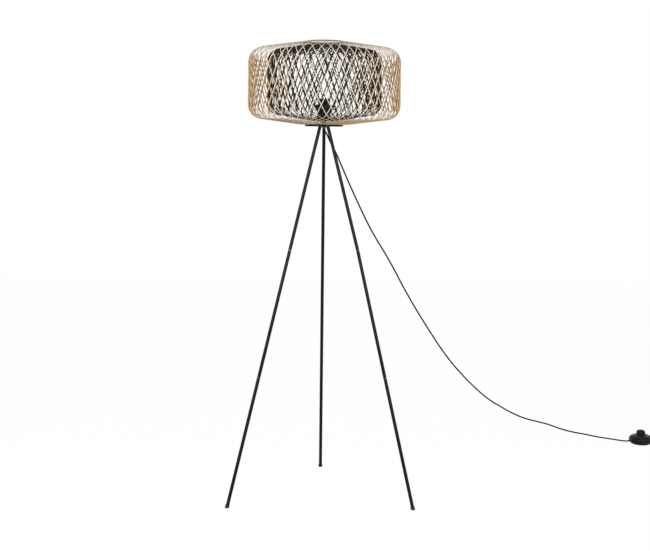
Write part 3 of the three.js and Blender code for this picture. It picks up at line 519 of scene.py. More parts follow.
contact_low, contact_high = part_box("centre_contact")
contact_radius = (contact_high.x - contact_low.x) / 2
contact_crown_share = 0.7
contact_outline = np.concatenate([
    [[0, contact_low.z], [contact_radius, contact_low.z]],
    bend((contact_radius, contact_low.z + screw_wall),
         (contact_crown_share * contact_radius, contact_high.z), (0, contact_high.z))])
turned_piece("brass_contact", contact_outline, brass, "centre_contact", 48)

# Shade frame and rings.
# Black steel wire: a ring that lies on the plate, three arms bent up and in from it, and a flat collar that
# the clamp ring holds on the lamp holder, all welded. Wire rings stiffen the rims of both shades.
frame_low, frame_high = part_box("shade_frame")
wire_radius = 2 * mm
thin_wire_radius = 1.5 * mm
collar_low = flange_high + seat
collar_high = collar_low + 2 * mm
collar_radius = 27 * mm
collar_edge = 0.6 * mm
rim_ring_radius = (frame_high.x - frame_low.x) / 2 - wire_radius
arm_top = collar_high - wire_radius
arm_foot = frame_low.z + wire_radius
arm_waist = 43 * mm
arm_bend_in = 38 * mm
arm_bend_out = 50 * mm
arm_bend_share = 0.3
arm_drop = (arm_top - arm_foot) * arm_bend_share
arm_bend_steps = 12
arm_count = 3


def wire_ring(radius, height, half_width, half_height, around=16):
    """A ring of elliptical section: r = radius + half_width cos b, z = height + half_height sin b."""
    b = np.arange(around) / around * 2 * np.pi
    return turned(np.stack([radius + half_width * np.cos(b), height + half_height * np.sin(b)], 1), 160)


def capped(rings, start, end):
    """Rings of points joined into a tube, whose ends close on a point each."""
    around = rings.shape[1]
    start, end = [np.broadcast_to(place, (1, around, 3)) for place in (start, end)]
    points = np.concatenate([start, rings, end])
    return points.reshape(-1, 3), grid_faces(len(points), around)


def wire(middle, across, square, radius, around):
    """A round wire along its middle line: middle + radius (cos b across + sin b square)."""
    b = np.arange(around)[:, None] / around * 2 * np.pi
    rings = middle[:, None] + radius * (np.cos(b) * across[:, None] + np.sin(b) * square[:, None])
    return capped(rings, middle[0], middle[-1])


def flat_wire(path, radius):
    """A round wire along a path of (x, z) points: each circle stands square to the path."""
    ahead = np.gradient(path, axis=0)
    ahead /= np.linalg.norm(ahead, axis=1)[:, None]
    x, z = path.T
    across = np.stack([-ahead[:, 1], 0 * x, ahead[:, 0]], 1)
    return wire(np.stack([x, 0 * x, z], 1), across, np.tile([0, 1, 0], (len(path), 1)), radius, 14)


def turned_round(shape, angle):
    """A shape turned about Z."""
    turn = np.array([[np.cos(angle), np.sin(angle), 0], [-np.sin(angle), np.cos(angle), 0], [0, 0, 1]])
    return shape[0] @ turn, shape[1]


def together(*shapes):
    """Several shapes as one list of points and one of faces."""
    starts = np.cumsum([0] + [len(points) for points, _ in shapes])
    return (np.concatenate([points for points, _ in shapes]),
            np.concatenate([faces + start for start, (_, faces) in zip(starts, shapes)]))


arm_path = np.concatenate([
    [[collar_radius - wire_radius, arm_top]],
    bend((arm_bend_in, arm_top), (arm_waist, arm_top), (arm_waist, arm_top - arm_drop), arm_bend_steps),
    bend((arm_waist, arm_foot + arm_drop), (arm_waist, arm_foot), (arm_bend_out, arm_foot), arm_bend_steps),
    [[rim_ring_radius, arm_foot]]])
arms = [turned_round(flat_wire(arm_path, wire_radius), 2 * np.pi * k / arm_count) for k in range(arm_count)]
collar_outline = block(clamp_bore, collar_radius, collar_low, collar_high, collar_edge)
frame_shape = together(
    wire_ring(rim_ring_radius, arm_foot, wire_radius, wire_radius), turned(collar_outline, 96), *arms)
piece("welded_shade_frame", placed(frame_shape, lamp_axis), black_powder, "shade_frame")

for ring_name, half_width in (("outer_top_ring", wire_radius), ("inner_bottom_ring", thin_wire_radius),
                              ("inner_top_ring", thin_wire_radius)):
    low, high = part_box(ring_name)
    ring_shape = wire_ring((high.x - low.x) / 2 - half_width, (low.z + high.z) / 2, half_width,
                           (high.z - low.z) / 2)
    piece(f"{ring_name}_wire", placed(ring_shape, lamp_axis), black_powder, ring_name)

# Outer shade.
# Two families of 51 strips of split rattan, those that rise to the right over those that rise to the left.
# They stand on edge in the wall and lie flat on the cones, and are tucked in under the rings of the rims.


def lantern_line(rim, low, high, radius, shoulder, rises, count=2400):
    """The line that a shade turns about its axis: a shallow cone, a round shoulder, an upright wall and the
    same again. It gives the distance along the line, the radius, the height and the heading at each point,
    summed up from the heading, which grows only on the shoulders. The rises are those of the two cones."""
    rises = np.array(rises)
    slope = np.arctan2(rises, radius - rim)
    turn = np.pi / 2 - slope
    tangent = shoulder * np.tan(turn / 2)
    cone = np.hypot(rises, radius - rim) - tangent
    wall = high - low - (rises + tangent).sum()
    ends = np.cumsum([0, cone[0], shoulder * turn[0], wall, shoulder * turn[1], cone[1]])
    distance = np.linspace(0, ends[-1], count + 1)
    heading = np.interp(distance, ends, np.repeat([slope[0], np.pi / 2, np.pi - slope[1]], 2))
    between = (heading[1:] + heading[:-1]) / 2
    step = distance[1]
    r = rim + np.concatenate([[0], np.cumsum(np.cos(between)) * step])
    z = low + np.concatenate([[0], np.cumsum(np.sin(between)) * step])
    return distance, r, z, heading


# A strip's section in shares of its width and thickness, from one rounded skin edge to the other and back
# along the cut side, and how far round the section each point comes.
strip_section = np.array([
    [-0.5, 0.34], [-0.36, 0.47], [0, 0.5], [0.36, 0.47], [0.5, 0.34], [0.5, -0.46], [0, -0.5], [-0.5, -0.46]])
section_share = np.array([0.06, 0.2, 0.35, 0.5, 0.64, 0.76, 0.85, 0.94, 1.06])
skin_middle = 0.35
inside_middle = 0.85
cap_share = 0.8
samples_per_crossing = 6
layer_gap = 0.1 * mm
edge_power = 6
rim_tuck = 2 * mm
tuck_reach = 6 * mm
wave_rates = (6, 16)
width_spread = 0.05


def strip_family(line, seed, rising, first, count, crossings, width, thickness, flat, unevenness):
    """All the strips that rise one way. Along the line a strip gains the angle g(s) = slope x the integral of
    ds / r, up to so many half pitches. It stands on edge in the wall, where it is so thick, and lies flat on
    the cones: t = flat + (thickness - flat) sin(heading) to a power, where flat is the thickness on the low
    and on the high cone. The rising strips lie outside the falling ones, and the ends are tucked in under the
    rings. Each strip strays from its place by an offset, a lean and a slow wave, all of the unevenness. The
    uv is the strip's number plus the share round its section, and the metres along it."""
    random = np.random.default_rng(seed)
    distance, r, z, heading = line
    gain = np.concatenate([[0], np.cumsum(2 * np.diff(distance) / (r[1:] + r[:-1]))])
    tangent = crossings * np.pi / count / gain[-1]
    m = np.linspace(0, crossings, crossings * samples_per_crossing + 1)
    s = np.interp(m, gain / gain[-1] * crossings, distance)
    r, z, heading = (np.interp(s, distance, values) for values in (r, z, heading))
    sign = 1 if rising else -1
    strips = np.arange(count)[:, None]
    wave = np.sin(s * random.uniform(*wave_rates, (count, 1)) + random.uniform(0, 2 * np.pi, (count, 1)))
    lean = random.normal(0, 1, (count, 1)) * (2 * s / distance[-1] - 1)
    stray = unevenness * (random.normal(0, 1, (count, 1)) + wave + lean)
    angle = first + strips * 2 * np.pi / count + sign * m * np.pi / count + stray / r.max()
    near_rim = np.minimum(s, distance[-1] - s)
    flat = np.where(heading < np.pi / 2, *flat)
    deep = flat + (thickness - flat) * np.sin(heading) ** edge_power
    layer = deep / 2 if rising else 1.5 * deep + layer_gap
    lift = -layer - rim_tuck * np.exp(-near_rim / tuck_reach) + 0 * angle
    cos, sin = np.cos(angle), np.sin(angle)
    outward = np.stack([cos * np.sin(heading), sin * np.sin(heading), 0 * cos - np.cos(heading)], -1)
    upward = np.stack([cos * np.cos(heading), sin * np.cos(heading), 0 * cos + np.sin(heading)], -1)
    aside = np.stack([-sin, cos, 0 * cos], -1)
    slant = sign * np.arctan(tangent)
    across = np.cos(slant) * aside - np.sin(slant) * upward
    middle = np.stack([r * cos, r * sin, 0 * cos + z], -1) + lift[..., None] * outward
    breadth = width * random.normal(1, width_spread, (count, 1, 1, 1))
    u, v = strip_section[:, 0], strip_section[:, 1]
    points = (middle[:, :, None] + breadth * u[:, None] * across[:, :, None]
              + deep[:, None, None] * v[:, None] * outward[:, :, None])
    rows, columns = len(m), len(u)
    starts = np.arange(count)[:, None, None] * rows * columns
    sheets = (grid_faces(rows, columns)[None] + starts).reshape(-1, 4).tolist()
    caps = (np.arange(columns) + starts[:, 0]).tolist()
    caps += (np.arange(-columns, 0) + starts[:, 0] + rows * columns).tolist()
    metres = s / np.cos(slant)
    corner_u = np.stack([section_share[:-1], section_share[1:], section_share[1:], section_share[:-1]], -1)
    corner_v = np.stack([metres[:-1], metres[:-1], metres[1:], metres[1:]], -1)
    uv = np.stack(np.broadcast_arrays(strips[:, :, None, None] + corner_u, corner_v[:, None]), -1)
    cap_uv = np.full((2 * count * columns, 2), cap_share)
    return (points.reshape(-1, 3), sheets + caps), np.concatenate([uv.reshape(-1, 2), cap_uv])


def lattice(name, material, seed, rim, radius, shoulder, rises, **strips):
    """Both families of a shade's strips, as one piece each, on one line between the ends of the shade."""
    low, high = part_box(f"{name}_lattice")
    line = lantern_line(rim, low.z, high.z, radius, shoulder, rises)
    for way, rising in (("rising", True), ("falling", False)):
        shape, uv = strip_family(line, seed + rising, rising, **strips)
        piece(f"{name}_strips_{way}", placed(shape, lamp_axis), material, f"{name}_lattice", uv=uv)


def maths(tree, operation, *values):
    """One step of arithmetic on values or outputs."""
    made = shader_node(tree, "Math", operation=operation)
    for socket, value in zip(made.inputs, values):
        feed(tree, socket, value)
    return made.outputs[0]


def split_cane_group():
    """Split rattan by its uv: pale skin on the outer part of the section, a tan on the cut edges and pale
    pith inside. The tan of the cut edges is the cane's own tone, darkened further as painted shade on the
    strips' flanks. Each strip has a tone of its own, fine streaks along it and a dark ring at each node. The
    values given are those of natural rattan."""
    tree, given, made = group_tree("split_cane", {
        "Skin": (0.93, 0.87, 0.72, 1), "Old Skin": (0.62, 0.43, 0.21, 1), "Cut Edge And Shade": (0.42, 0.23, 0.09, 1),
        "Pith": (0.88, 0.78, 0.58, 1), "Ring": (0.16, 0.09, 0.04, 1), "Tone Spread": 0.5,
        "Node Spacing": 0.21, "Smoothest": 0.35, "Roughest": 0.6})
    uv = shader_node(tree, "UVMap", uv_map="strip").outputs["UV"]
    apart = shader_node(tree, "SeparateXYZ", {"Vector": uv})
    number = maths(tree, "FLOOR", apart.outputs["X"])
    share = maths(tree, "FRACT", apart.outputs["X"])
    along = apart.outputs["Y"]
    tone = shader_node(tree, "TexWhiteNoise", {"W": number}, noise_dimensions="1D").outputs["Value"]

    def noise(scales, **settings):
        """Noise at a place made of values times their scales."""
        place = shader_node(tree, "CombineXYZ", {
            axis: maths(tree, "MULTIPLY", value, scale) for axis, (value, scale) in zip("XYZ", scales)})
        return shader_node(tree, "TexNoise", {
            "Vector": place.outputs["Vector"], "Scale": 1.0, **settings}).outputs["Fac"]

    def gap(value, place):
        """How far a value is from a place."""
        return maths(tree, "ABSOLUTE", maths(tree, "SUBTRACT", value, place))

    streaks = noise(((share, 26.0), (along, 22.0), (number, 3.7)), Detail=5, Roughness=0.6)
    slow = noise(((along, 9.0), (number, 5.3)), Detail=2)
    shifted = maths(tree, "ADD", maths(tree, "DIVIDE", along, given["Node Spacing"]), tone)
    ring = ranged(tree, gap(maths(tree, "FRACT", shifted), 0.5), 0.0, 0.012, 1.0, 0.0)
    cut = ranged(tree, gap(share, skin_middle), 0.25, 0.3)
    inside = ranged(tree, gap(share, inside_middle), 0.07, 0.1, 1.0, 0.0)
    age = maths(tree, "ADD", maths(tree, "MULTIPLY", tone, given["Tone Spread"]),
                ranged(tree, slow, 0.35, 0.75, 0.0, 0.5))
    age = maths(tree, "ADD", age, ranged(tree, streaks, 0.4, 0.7, -0.15, 0.3))
    skin = mixed(tree, ranged(tree, age, 0.1, 1.5), given["Skin"], given["Old Skin"])
    # The cut edges' colour is partly the cane's own tone and partly painted shade on the strips' flanks.
    cut_edge_and_shade = mixed(tree, ranged(tree, streaks, 0.35, 0.7, 0.0, 0.5), given["Cut Edge And Shade"], given["Old Skin"])
    pith = mixed(tree, ranged(tree, streaks, 0.35, 0.7), given["Pith"], given["Old Skin"])
    whole = mixed(tree, inside, mixed(tree, cut, skin, cut_edge_and_shade), pith)
    gloss = ranged(tree, maths(tree, "ADD", cut, streaks), 0.3, 1.3, given["Smoothest"], given["Roughest"])
    feed_all(tree, made, {"Color": mixed(tree, maths(tree, "MULTIPLY", ring, 0.7), whole, given["Ring"]),
                          "Roughness": gloss, "Height": maths(tree, "ADD", streaks, ring)})
    return tree


split_cane = split_cane_group()
natural_cane = finish("natural_split_rattan", "natural_rattan", split_cane, {}, specular=0.4, bump=0.6,
                      depth=0.2 * mm)

lattice("outer", natural_cane, seed=1, rim=64.96 * mm, radius=251 * mm, shoulder=48 * mm,
        rises=(24 * mm, 28 * mm), first=np.radians(-152.3), count=51, crossings=27, width=1.9 * mm,
        thickness=4 * mm, flat=(1.2 * mm, 0.6 * mm), unevenness=2 * mm)

# Inner shade.
# The same lattice in a smaller size, stained black, round the lamp holder. Its strips are wider and closer
# together than the outer one's, and are fixed to a wire ring at each rim.
stained_cane = finish("black_stained_rattan", "black_rattan", split_cane, {
    "Skin": (0.01, 0.009, 0.008, 1), "Old Skin": (0.024, 0.018, 0.014, 1), "Cut Edge And Shade": (0.018, 0.012, 0.009, 1),
    "Pith": (0.02, 0.015, 0.012, 1), "Ring": (0.006, 0.005, 0.005, 1), "Smoothest": 0.45, "Roughest": 0.6},
    specular=0.15, bump=0.6, depth=0.2 * mm)
lattice("inner", stained_cane, seed=3, rim=49.4 * mm, radius=188 * mm, shoulder=38 * mm,
        rises=(24 * mm, 24 * mm), first=0, count=56, crossings=23, width=3.3 * mm, thickness=1.9 * mm,
        flat=(0.5 * mm, 2.4 * mm), unevenness=2.2 * mm)

# Foot switch.
# A round black plastic housing, 90 mm across: a bowl below, a domed cover above, and a domed button in a
# collar. Rubber strain reliefs hold the cord at both sides, and a rubber pad keeps it from sliding.
cover_low, cover_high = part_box("switch_cover")
base_low, base_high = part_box("switch_base")
button_low, button_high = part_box("switch_button")
switch_middle = np.array([(cover_low.x + cover_high.x) / 2, (cover_low.y + cover_high.y) / 2, 0])
switch_radius = 45 * mm
switch_flat = 30 * mm
switch_wall = 2 * mm
switch_sides = 128
seam = base_high.z
edge_width = switch_radius - switch_flat
edge_height = seam - base_low.z
relief_low, relief_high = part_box("switch_relief_out")
relief_middle = (relief_low + relief_high) / 2
cord_heading = np.array([relief_middle.x - switch_middle[0], relief_middle.y - switch_middle[1], 0])
cord_heading /= np.linalg.norm(cord_heading)
cord_place = switch_middle + [0, 0, relief_middle.z]
tunnel_radius = 4.5 * mm
tunnel_reach = switch_radius * 1.5


def quarter(centre, half, start, end, steps=16):
    """Points of an ellipse, centre + half (cos a, sin a), with a between two angles in quarter turns."""
    a = np.linspace(start, end, steps + 1) * np.pi / 2
    return np.stack([centre[0] + half[0] * np.cos(a), centre[1] + half[1] * np.sin(a)], 1)


def tunnelled(thing):
    """The piece with a round tunnel cut through it along the cord, a little wider than the reliefs."""
    bar = turned([(0, -tunnel_reach), (tunnel_radius, -tunnel_reach), (tunnel_radius, tunnel_reach),
                  (0, tunnel_reach)], 48)
    tool = in_scene("cutter", outward_mesh("cutter", placed(bar, cord_place, cord_heading)))
    cut = thing.modifiers.new("cut", "BOOLEAN")
    cut.object = tool
    cut.solver = "EXACT"
    cut_mesh = bpy.data.meshes.new_from_object(thing.evaluated_get(bpy.context.evaluated_depsgraph_get()))
    thing.modifiers.clear()
    thing.data = cut_mesh
    cut_mesh.set_sharp_from_angle(angle=np.radians(usual_crease))
    bpy.data.objects.remove(tool)
    return thing


base_outline = np.concatenate([
    [[0, base_low.z]], quarter((switch_flat, seam), (edge_width, edge_height), -1, 0),
    quarter((switch_flat, seam), (edge_width - switch_wall, edge_height - switch_wall), 0, -1),
    [[0, base_low.z + switch_wall]]])
switch_bowl = tunnelled(turned_piece(
    "switch_bowl", base_outline, black_plastic, "switch_base", switch_sides, axis=switch_middle))

collar_outer = 21 * mm
collar_rise = 1.2 * mm
collar_inset = 0.8 * mm
collar_depth = 5 * mm
collar_wall = 2 * mm
hole_radius = 17.4 * mm
cover_top = cover_high.z
dome_reach = switch_radius - collar_outer
dome_rise = cover_top - seam - collar_rise
cover_outline = np.concatenate([
    quarter((collar_outer, seam), (dome_reach, dome_rise), 0.01, 0.95),
    filleted((collar_outer + collar_inset, cover_top - collar_rise), (collar_outer, cover_top, collar_inset),
             (hole_radius, cover_top, collar_inset), (hole_radius, cover_top - collar_depth),
             (hole_radius + collar_wall, cover_top - collar_depth),
             (hole_radius + collar_wall, cover_top - collar_rise - switch_wall)),
    quarter((collar_outer, seam), (dome_reach - switch_wall, dome_rise - switch_wall), 0.97, 0.02)])
switch_dome = tunnelled(turned_piece(
    "switch_dome", cover_outline, black_plastic, "switch_cover", switch_sides, axis=switch_middle))

button_radius = 17 * mm
button_wall = 2 * mm
button_rim = 2.2 * mm
button_shoulder = 47 * mm
button_crown = button_high.z - button_shoulder
button_outline = np.concatenate([
    quarter((0, button_shoulder), (button_radius, button_crown), 1, 0, 24),
    [[button_radius, button_low.z + button_wall], [button_radius + button_rim, button_low.z + button_wall],
     [button_radius + button_rim, button_low.z], [button_radius - button_wall, button_low.z]],
    quarter((0, button_shoulder), (button_radius - button_wall, button_crown - button_wall), 0, 1, 24)])
button_plastic = coat("black_button_plastic", "black_plastic", (0.004, 0.004, 0.004), (0.007, 0.007, 0.007),
                      1300, 50, (0.22, 0.32), specular=0.14, bump=0.12)
switch_button = turned_piece("switch_button_dome", button_outline, button_plastic, "switch_button", 96,
                             axis=switch_middle, body="button")

pad_outline = block(inner=0, outer=21 * mm, low=0, high=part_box("switch_pad")[1].z, outer_edge=0.4 * mm)
switch_foot = turned_piece(
    "switch_foot_pad", pad_outline, black_rubber, "switch_pad", 96, axis=switch_middle)

spring_low, spring_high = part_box("button_spring")
spring_radius = 6.4 * mm
spring_wire = 0.5 * mm
spring_turns = 8


def coil_spring(low, high, steps=24):
    """A round wire on a helix: (radius cos t, radius sin t, z), with circles square to it."""
    t = np.linspace(0, spring_turns * 2 * np.pi, spring_turns * steps + 1)
    climb = (high - low - 2 * spring_wire) / t[-1]
    outward = np.stack([np.cos(t), np.sin(t), 0 * t], 1)
    middle = spring_radius * outward + np.stack([0 * t, 0 * t, low + spring_wire + climb * t], 1)
    ahead = np.stack([-spring_radius * np.sin(t), spring_radius * np.cos(t), 0 * t + climb], 1)
    ahead /= np.linalg.norm(ahead, axis=1)[:, None]
    return wire(middle, outward, np.cross(ahead, outward), spring_wire, 8)


spring_shape = coil_spring(spring_low.z, spring_high.z)
spring = piece("wire_spring", placed(spring_shape, switch_middle), zinc_plate, "button_spring")
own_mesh(spring)
dress(zinc_plate, "switch_screw_left", "switch_screw_right")
dress(glazed_ceramic, "switch_block")

relief_start = 38 * mm
relief_end = 65 * mm
relief_tip = 3 * mm
relief_bore = 2.7 * mm
rib_groove = 0.6 * mm
rib_share = 0.6
groove_share = 0.6
ribbed_share = 0.97
rows_per_rib = 12


def tapered_relief(length, plain, start_radius, end_radius, ribs):
    """A turned relief with a bore for the cord: straight for its plain part, then r changes evenly to the
    other end's, less a groove between one rib and the next, no deeper than a share of the wall."""
    along = np.linspace(plain, length, ribs * rows_per_rib + 1)
    share = (along - plain) / (length - plain)
    radius = start_radius + (end_radius - start_radius) * share
    groove = np.minimum(rib_groove, (radius - relief_bore) * groove_share) * (share < ribbed_share)
    groove *= np.clip((1 + rib_share) * np.sin(np.pi * ribs * share) ** 2 - rib_share, 0, 1)
    ends = [[relief_bore, length], [relief_bore, 0], [start_radius, 0]]
    return turned(np.concatenate([ends, np.stack([radius - groove, along], 1)]), 40)


relief_shape = tapered_relief(relief_end - relief_start, plain=switch_radius - relief_start,
                              start_radius=4.2 * mm, end_radius=relief_tip, ribs=7)
inlet_relief, outlet_relief = [
    piece(f"strain_relief_{name}",
          placed(relief_shape, cord_place + way * relief_start * cord_heading, way * cord_heading),
          black_rubber, f"switch_relief_{name}")
    for name, way in (("in", -1), ("out", 1))]

# Mains cord.
# A round black PVC lead, 5.2 mm thick: from the hub down to the foot switch in one long free curve, on
# to a small coil of the spare length beside it, and to the plug. The switch parts it into two cords.
cord_radius = 2.6 * mm
black_sheath = coat("black_cord_sheath", "cord_sheath", (0.003, 0.003, 0.003), (0.005, 0.005, 0.005), 600, 25,
                    (0.4, 0.6), specular=0.08, bump=0.15)
dress(black_sheath, "inner_lead")


def switch_point(distance):
    """A point on the switch's own cord line, so far from its middle, inlet side negative."""
    return Vector(cord_place + cord_heading * distance)


def cord_curve(name, points):
    """One open smooth spline through the points, as thick as the cord."""
    data = bpy.data.curves.new(name, "CURVE")
    data.dimensions = "3D"
    data.bevel_depth = cord_radius
    data.bevel_resolution = 4
    data.resolution_u = 8
    data.use_fill_caps = True
    spline = data.splines.new("BEZIER")
    spline.bezier_points.add(len(points) - 1)
    for knot, point in zip(spline.bezier_points, points):
        knot.co = point
        knot.handle_left_type = "AUTO"
        knot.handle_right_type = "AUTO"
    data.materials.append(black_sheath)
    cord = in_scene(name, data)
    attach(cord, "lamp")
    return cord


# The route in millimetres from the lamp's axis, as the solid of the cord follows it.
drop_route = np.array([
    (5, 3, 1190), (20, 12, 1159), (45, 26, 1111), (66, 38, 1063), (107, 62, 973), (161, 94, 864),
    (227, 132, 754), (289, 169, 641), (359, 209, 526), (439, 256, 408), (489, 285, 348), (550, 321, 285),
    (594, 346, 246), (641, 373, 214), (689, 401, 184), (737, 429, 160), (786, 458, 142), (834, 486, 125),
    (884, 515, 103), (934, 544, 85), (985, 574, 70), (1037, 604, 54), (1089, 634, 40)])
drop_start = Vector(lamp_axis + [0, 0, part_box("cord_bush")[0].z - seat])
drop_points = [drop_start, drop_start - Vector((0, 0, cord_radius))]
drop_points += [Vector(lamp_axis + point * mm) for point in drop_route]
drop_points += [switch_point(-relief_end - seat - k * cord_radius) for k in (4, 2, 0, -3, -6)]
cord_drop = cord_curve("mains_cord_to_switch", drop_points)
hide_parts("cord_drop")

tie_thickness = 1 * mm
coil_pitch = 5.8 * mm
coil_radius = 32 * mm
coil_turns_per_layer = 2.375
coil_climb_turns = 0.5
coil_turns = 2 * coil_turns_per_layer + coil_climb_turns
coil_entry = np.radians(-65)
coil_steps_per_turn = 24
coil_low = tie_thickness + seat + cord_radius
coil_middle = lamp_axis + [1.362, 0.818, 0]


def coil_point(turns):
    """The coil's centre line: in at a steady rate on the lower layer, up a layer in half a turn, and out
    again at the same rate on the upper one."""
    middle = coil_turns / 2
    radius = coil_radius - coil_pitch * (middle - abs(turns - middle))
    climb = min(max((turns - coil_turns_per_layer) / coil_climb_turns, 0), 1)
    angle = coil_entry + turns * 2 * np.pi
    rise = coil_pitch * climb * climb * (3 - 2 * climb)
    flat = Vector((np.cos(angle), np.sin(angle), 0)) * radius
    return Vector((coil_middle[0], coil_middle[1], coil_low + rise)) + flat


def coil_end(turns, inward):
    """Where the coil leaves off, and the level direction in which the cord goes on."""
    place = coil_point(turns)
    away = place - coil_point(turns + inward / coil_steps_per_turn ** 2)
    away.z = 0
    away.normalize()
    return place + away * 2 * cord_radius, away


coil_start, start_away = coil_end(0, 1)
coil_finish, finish_away = coil_end(coil_turns, -1)
plug_low, plug_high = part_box("plug_body")
plug_lead = 30 * mm
plug_start = coil_finish + finish_away * (plug_lead + 2 * seat)
plug_start.z = (plug_low.z + plug_high.z) / 2
lead_points = [switch_point(relief_end + seat + k * cord_radius) for k in (0, 2, 4)]
lead_points += [coil_start + start_away * (seat + k * cord_radius) for k in (8, 4)]
coil_steps = round(coil_turns * coil_steps_per_turn)
lead_points += [coil_point(k / coil_steps_per_turn) for k in range(coil_steps + 1)]
lead_points += [coil_finish + finish_away * seat]
lead_points += [plug_start - finish_away * (seat + k * cord_radius) for k in (3, 0)]
cord_lead = cord_curve("mains_cord_to_plug", lead_points)
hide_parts("cord_link", "cord_coil", "cord_end")

# Coil tie.
# A black woven strap of hook and loop tape, 9 mm wide and 1 mm thick. It closes on itself round one side of
# the coil and keeps the turns together.
tie_heading = np.radians(-160)
tie_reach = cord_radius + seat
tie_round = 2.2 * mm
woven_strap = coat("black_woven_strap", "black_rubber", (0.008, 0.008, 0.008), (0.02, 0.02, 0.021), 1500, 400,
                   (0.8, 0.95), specular=0.2, bump=0.9, depth=0.3 * mm)


def strap(inner, outer, low, high, width):
    """A loop's outline and the same a thickness further out, carried across the strap's width, as a closed
    ring of four edges."""
    t = tie_thickness
    inside = block(inner, outer, low, high, tie_round, tie_round)
    outside = block(inner - t, outer + t, low - t, high + t, tie_round, tie_round)
    edges = [(outside, -0.5), (outside, 0.5), (inside, 0.5), (inside, -0.5)]
    points = np.stack([np.stack([line[:, 0], 0 * line[:, 0] + across * width, line[:, 1]], 1)
                       for line, across in edges])
    return points.reshape(-1, 3), grid_faces(4, len(inside), wrap_rows=True)


tie_shape = strap(
    inner=coil_radius - coil_pitch * coil_turns / 2 - tie_reach, outer=coil_radius + tie_reach,
    low=tie_thickness, high=coil_low + coil_pitch + tie_reach, width=9 * mm)
tie_shape = placed(turned_round(tie_shape, tie_heading), coil_middle)
coil_tie = piece("hook_and_loop_tie", tie_shape, woven_strap, "coil_tie")

# Plug.
# A flat moulded mains plug for two round pins, narrow at the cord and wide at the pins, with finger grooves
# and a ribbed strain relief. The pins are plated metal, sleeved in plastic next to the body.
plug_length = 36 * mm
plug_half_width = 17.65 * mm
plug_half_thickness = (plug_high.z - plug_low.z) / 2
plug_neck_share = 0.36
plug_shoulder_share = 0.55
plug_edge = 1.5 * mm
plug_edge_rows = [0.004, 0.012, 0.03, 0.97, 0.988, 0.996]
grip_start = 0.14
grip_share = 0.42
grip_pitch = 2.6 * mm
grip_depth = 0.35 * mm
grip_fade = 3
squareness = 5
plug_relief_length = 22 * mm
pin_length = 19 * mm
pin_sleeve = 10 * mm
pin_radius = 2 * mm
pin_core = 0.8 * pin_radius
sleeve_radius = 0.98 * pin_radius
pin_tip = 1.2 * mm
pin_spacing = 18.6 * mm
plug_away = np.array([finish_away.x, finish_away.y, 0])
plug_across = np.array([-plug_away[1], plug_away[0], 0])


def plug_loft(sections=56, around=72):
    """Superellipses along the plug: |y / w|^n + |z / h|^n = 1. The half width w widens from the neck to the
    shoulder, w and h shrink in a round edge at both ends, and finger grooves lower the flat sides."""
    x = np.sort(np.concatenate([np.linspace(0, 1, sections), plug_edge_rows]))
    widening = np.clip(x / plug_shoulder_share, 0, 1)
    widening = widening * widening * (3 - 2 * widening)
    w = plug_half_width * (plug_neck_share + (1 - plug_neck_share) * widening)
    near_end = np.minimum(x, 1 - x) * plug_length
    shrink = plug_edge * (1 - np.sqrt(np.clip(1 - (1 - np.clip(near_end / plug_edge, 0, 1)) ** 2, 0, 1)))
    grip = np.clip(np.sin(np.pi * np.clip((x - grip_start) / grip_share, 0, 1)) * grip_fade, 0, 1)
    h = plug_half_thickness - shrink - grip_depth * grip * ripple(2 * np.pi * x * plug_length / grip_pitch)
    b = np.arange(around)[None, :] / around * 2 * np.pi
    y = np.sign(np.cos(b)) * np.abs(np.cos(b)) ** (2 / squareness) * (w - shrink)[:, None]
    z = np.sign(np.sin(b)) * np.abs(np.sin(b)) ** (2 / squareness) * h[:, None]
    along = np.broadcast_to((x * plug_length)[:, None], y.shape)
    return capped(np.stack([y, z, along], -1), (0, 0, 0), (0, 0, plug_length))


def along_plug(shape, distance, aside=0):
    """A shape, drawn with its length along Z and its width along X, laid along the plug."""
    points, faces = shape
    turn = np.stack([plug_across, [0, 0, 1], plug_away])
    return points @ turn + np.array(plug_start) + plug_away * distance + plug_across * aside, faces


body_start = plug_relief_length + seat
pin_start = body_start + plug_length + seat
plug_body = piece("plug_moulding", along_plug(plug_loft(), body_start), black_plastic, "plug_body")
plug_relief_shape = tapered_relief(
    plug_relief_length, plain=1 * mm, start_radius=relief_tip, end_radius=5.2 * mm, ribs=6)
plug_relief = piece("plug_strain_relief", along_plug(plug_relief_shape, 0), black_rubber, "plug_relief")
sleeve_outline = filleted((pin_core, 0), (sleeve_radius, 0), (sleeve_radius, pin_sleeve, 0.2 * mm),
                          (pin_core, pin_sleeve))
pin_outline = filleted((0, 0), (pin_core, 0), (pin_core, pin_sleeve), (pin_radius, pin_sleeve, 0.1 * mm),
                       (pin_radius, pin_length, pin_tip), (0, pin_length))
for side, way in (("left", 1), ("right", -1)):
    for kind, outline, material in (
            ("metal", pin_outline, zinc_plate), ("sleeve", sleeve_outline, black_plastic)):
        shape = along_plug(turned(outline, 40), pin_start, way * pin_spacing / 2)
        piece(f"pin_{kind}_{side}", shape, material, f"plug_pin_{side}")

# Studio.
# A white floor and an even white light all round, with two wide soft lamps in front at the height of the
# shade, one at each side.
half_floor = 6
floor_white = 0.6
floor_roughness = 0.9
glow_strength = 1.04
glow_share = 0.93
even_light = 0.4
floor_mesh = bpy.data.meshes.new("floor")
floor_corners = [(x * half_floor, y * half_floor, 0) for x, y in ((-1, -1), (1, -1), (1, 1), (-1, 1))]
floor_mesh.from_pydata(floor_corners, [], [(0, 1, 2, 3)])
floor = in_scene("floor", floor_mesh)


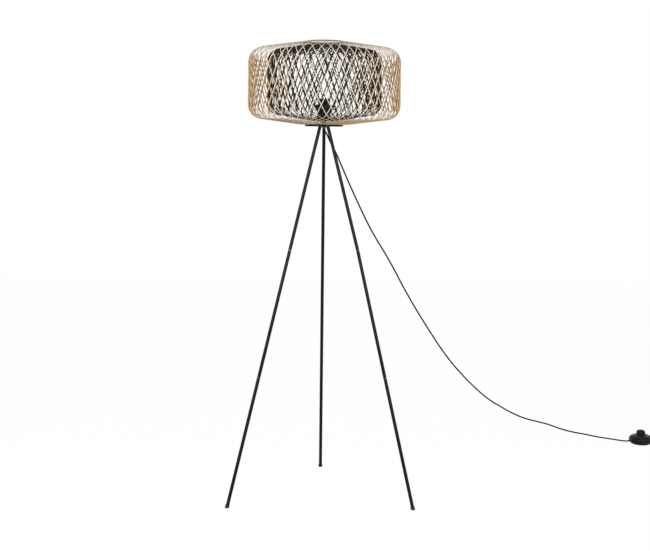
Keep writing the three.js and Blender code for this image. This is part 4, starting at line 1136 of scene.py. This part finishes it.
def backdrop_rays(tree):
    """One for the rays that show the background: the camera's, and those by way of metal or glass."""
    rays = shader_node(tree, "LightPath").outputs
    either = maths(tree, "MAXIMUM", rays["Is Camera Ray"], rays["Is Glossy Ray"])
    return maths(tree, "MAXIMUM", either, rays["Is Transmission Ray"])


def blended(tree, amount, lit, shown, surface):
    """A surface that is lit as one shader and, to the backdrop's rays, shown as another."""
    mix = shader_node(tree, "MixShader", {"Fac": amount})
    feed(tree, mix.inputs[1], lit)
    feed(tree, mix.inputs[2], shown)
    feed(tree, tree.nodes[surface].inputs["Surface"], mix.outputs["Shader"])


floor_paint = bpy.data.materials.new("floor_paint")
floor_paint.use_nodes = True
tree = floor_paint.node_tree
matt = tree.nodes["Principled BSDF"]
feed_all(tree, matt, {
    "Base Color": (floor_white, floor_white, floor_white, 1), "Roughness": floor_roughness})
glow = shader_node(tree, "Emission", {"Color": (1, 1, 1, 1), "Strength": glow_strength})
blended(tree, maths(tree, "MULTIPLY", backdrop_rays(tree), glow_share), matt.outputs["BSDF"],
        glow.outputs["Emission"], "Material Output")
floor_mesh.materials.append(floor_paint)

world = bpy.data.worlds.new("studio")
world.use_nodes = True
tree = world.node_tree
even = tree.nodes["Background"]
feed_all(tree, even, {"Color": (1, 1, 1, 1), "Strength": even_light})
backdrop = shader_node(tree, "Background", {"Color": (1, 1, 1, 1), "Strength": 1.0})
blended(tree, backdrop_rays(tree), even.outputs["Background"], backdrop.outputs["Background"], "World Output")
bpy.context.scene.world = world

shade_middle = Vector((0, 0, 1.3))
softbox_width = 1.6
softbox_height = 1.2
for name, place, watts in (("left_softbox", (-1.6, -3.0, 1.7), 62), ("right_softbox", (1.7, -2.9, 1.6), 54)):
    data = bpy.data.lights.new(name, "AREA")
    data.shape = "RECTANGLE"
    data.size = softbox_width
    data.size_y = softbox_height
    data.energy = watts
    lamp = in_scene(name, data)
    lamp.location = place
    lamp.rotation_euler = (shade_middle - Vector(place)).to_track_quat("-Z", "Y").to_euler()
bpy.context.scene.view_settings.view_transform = "Standard"
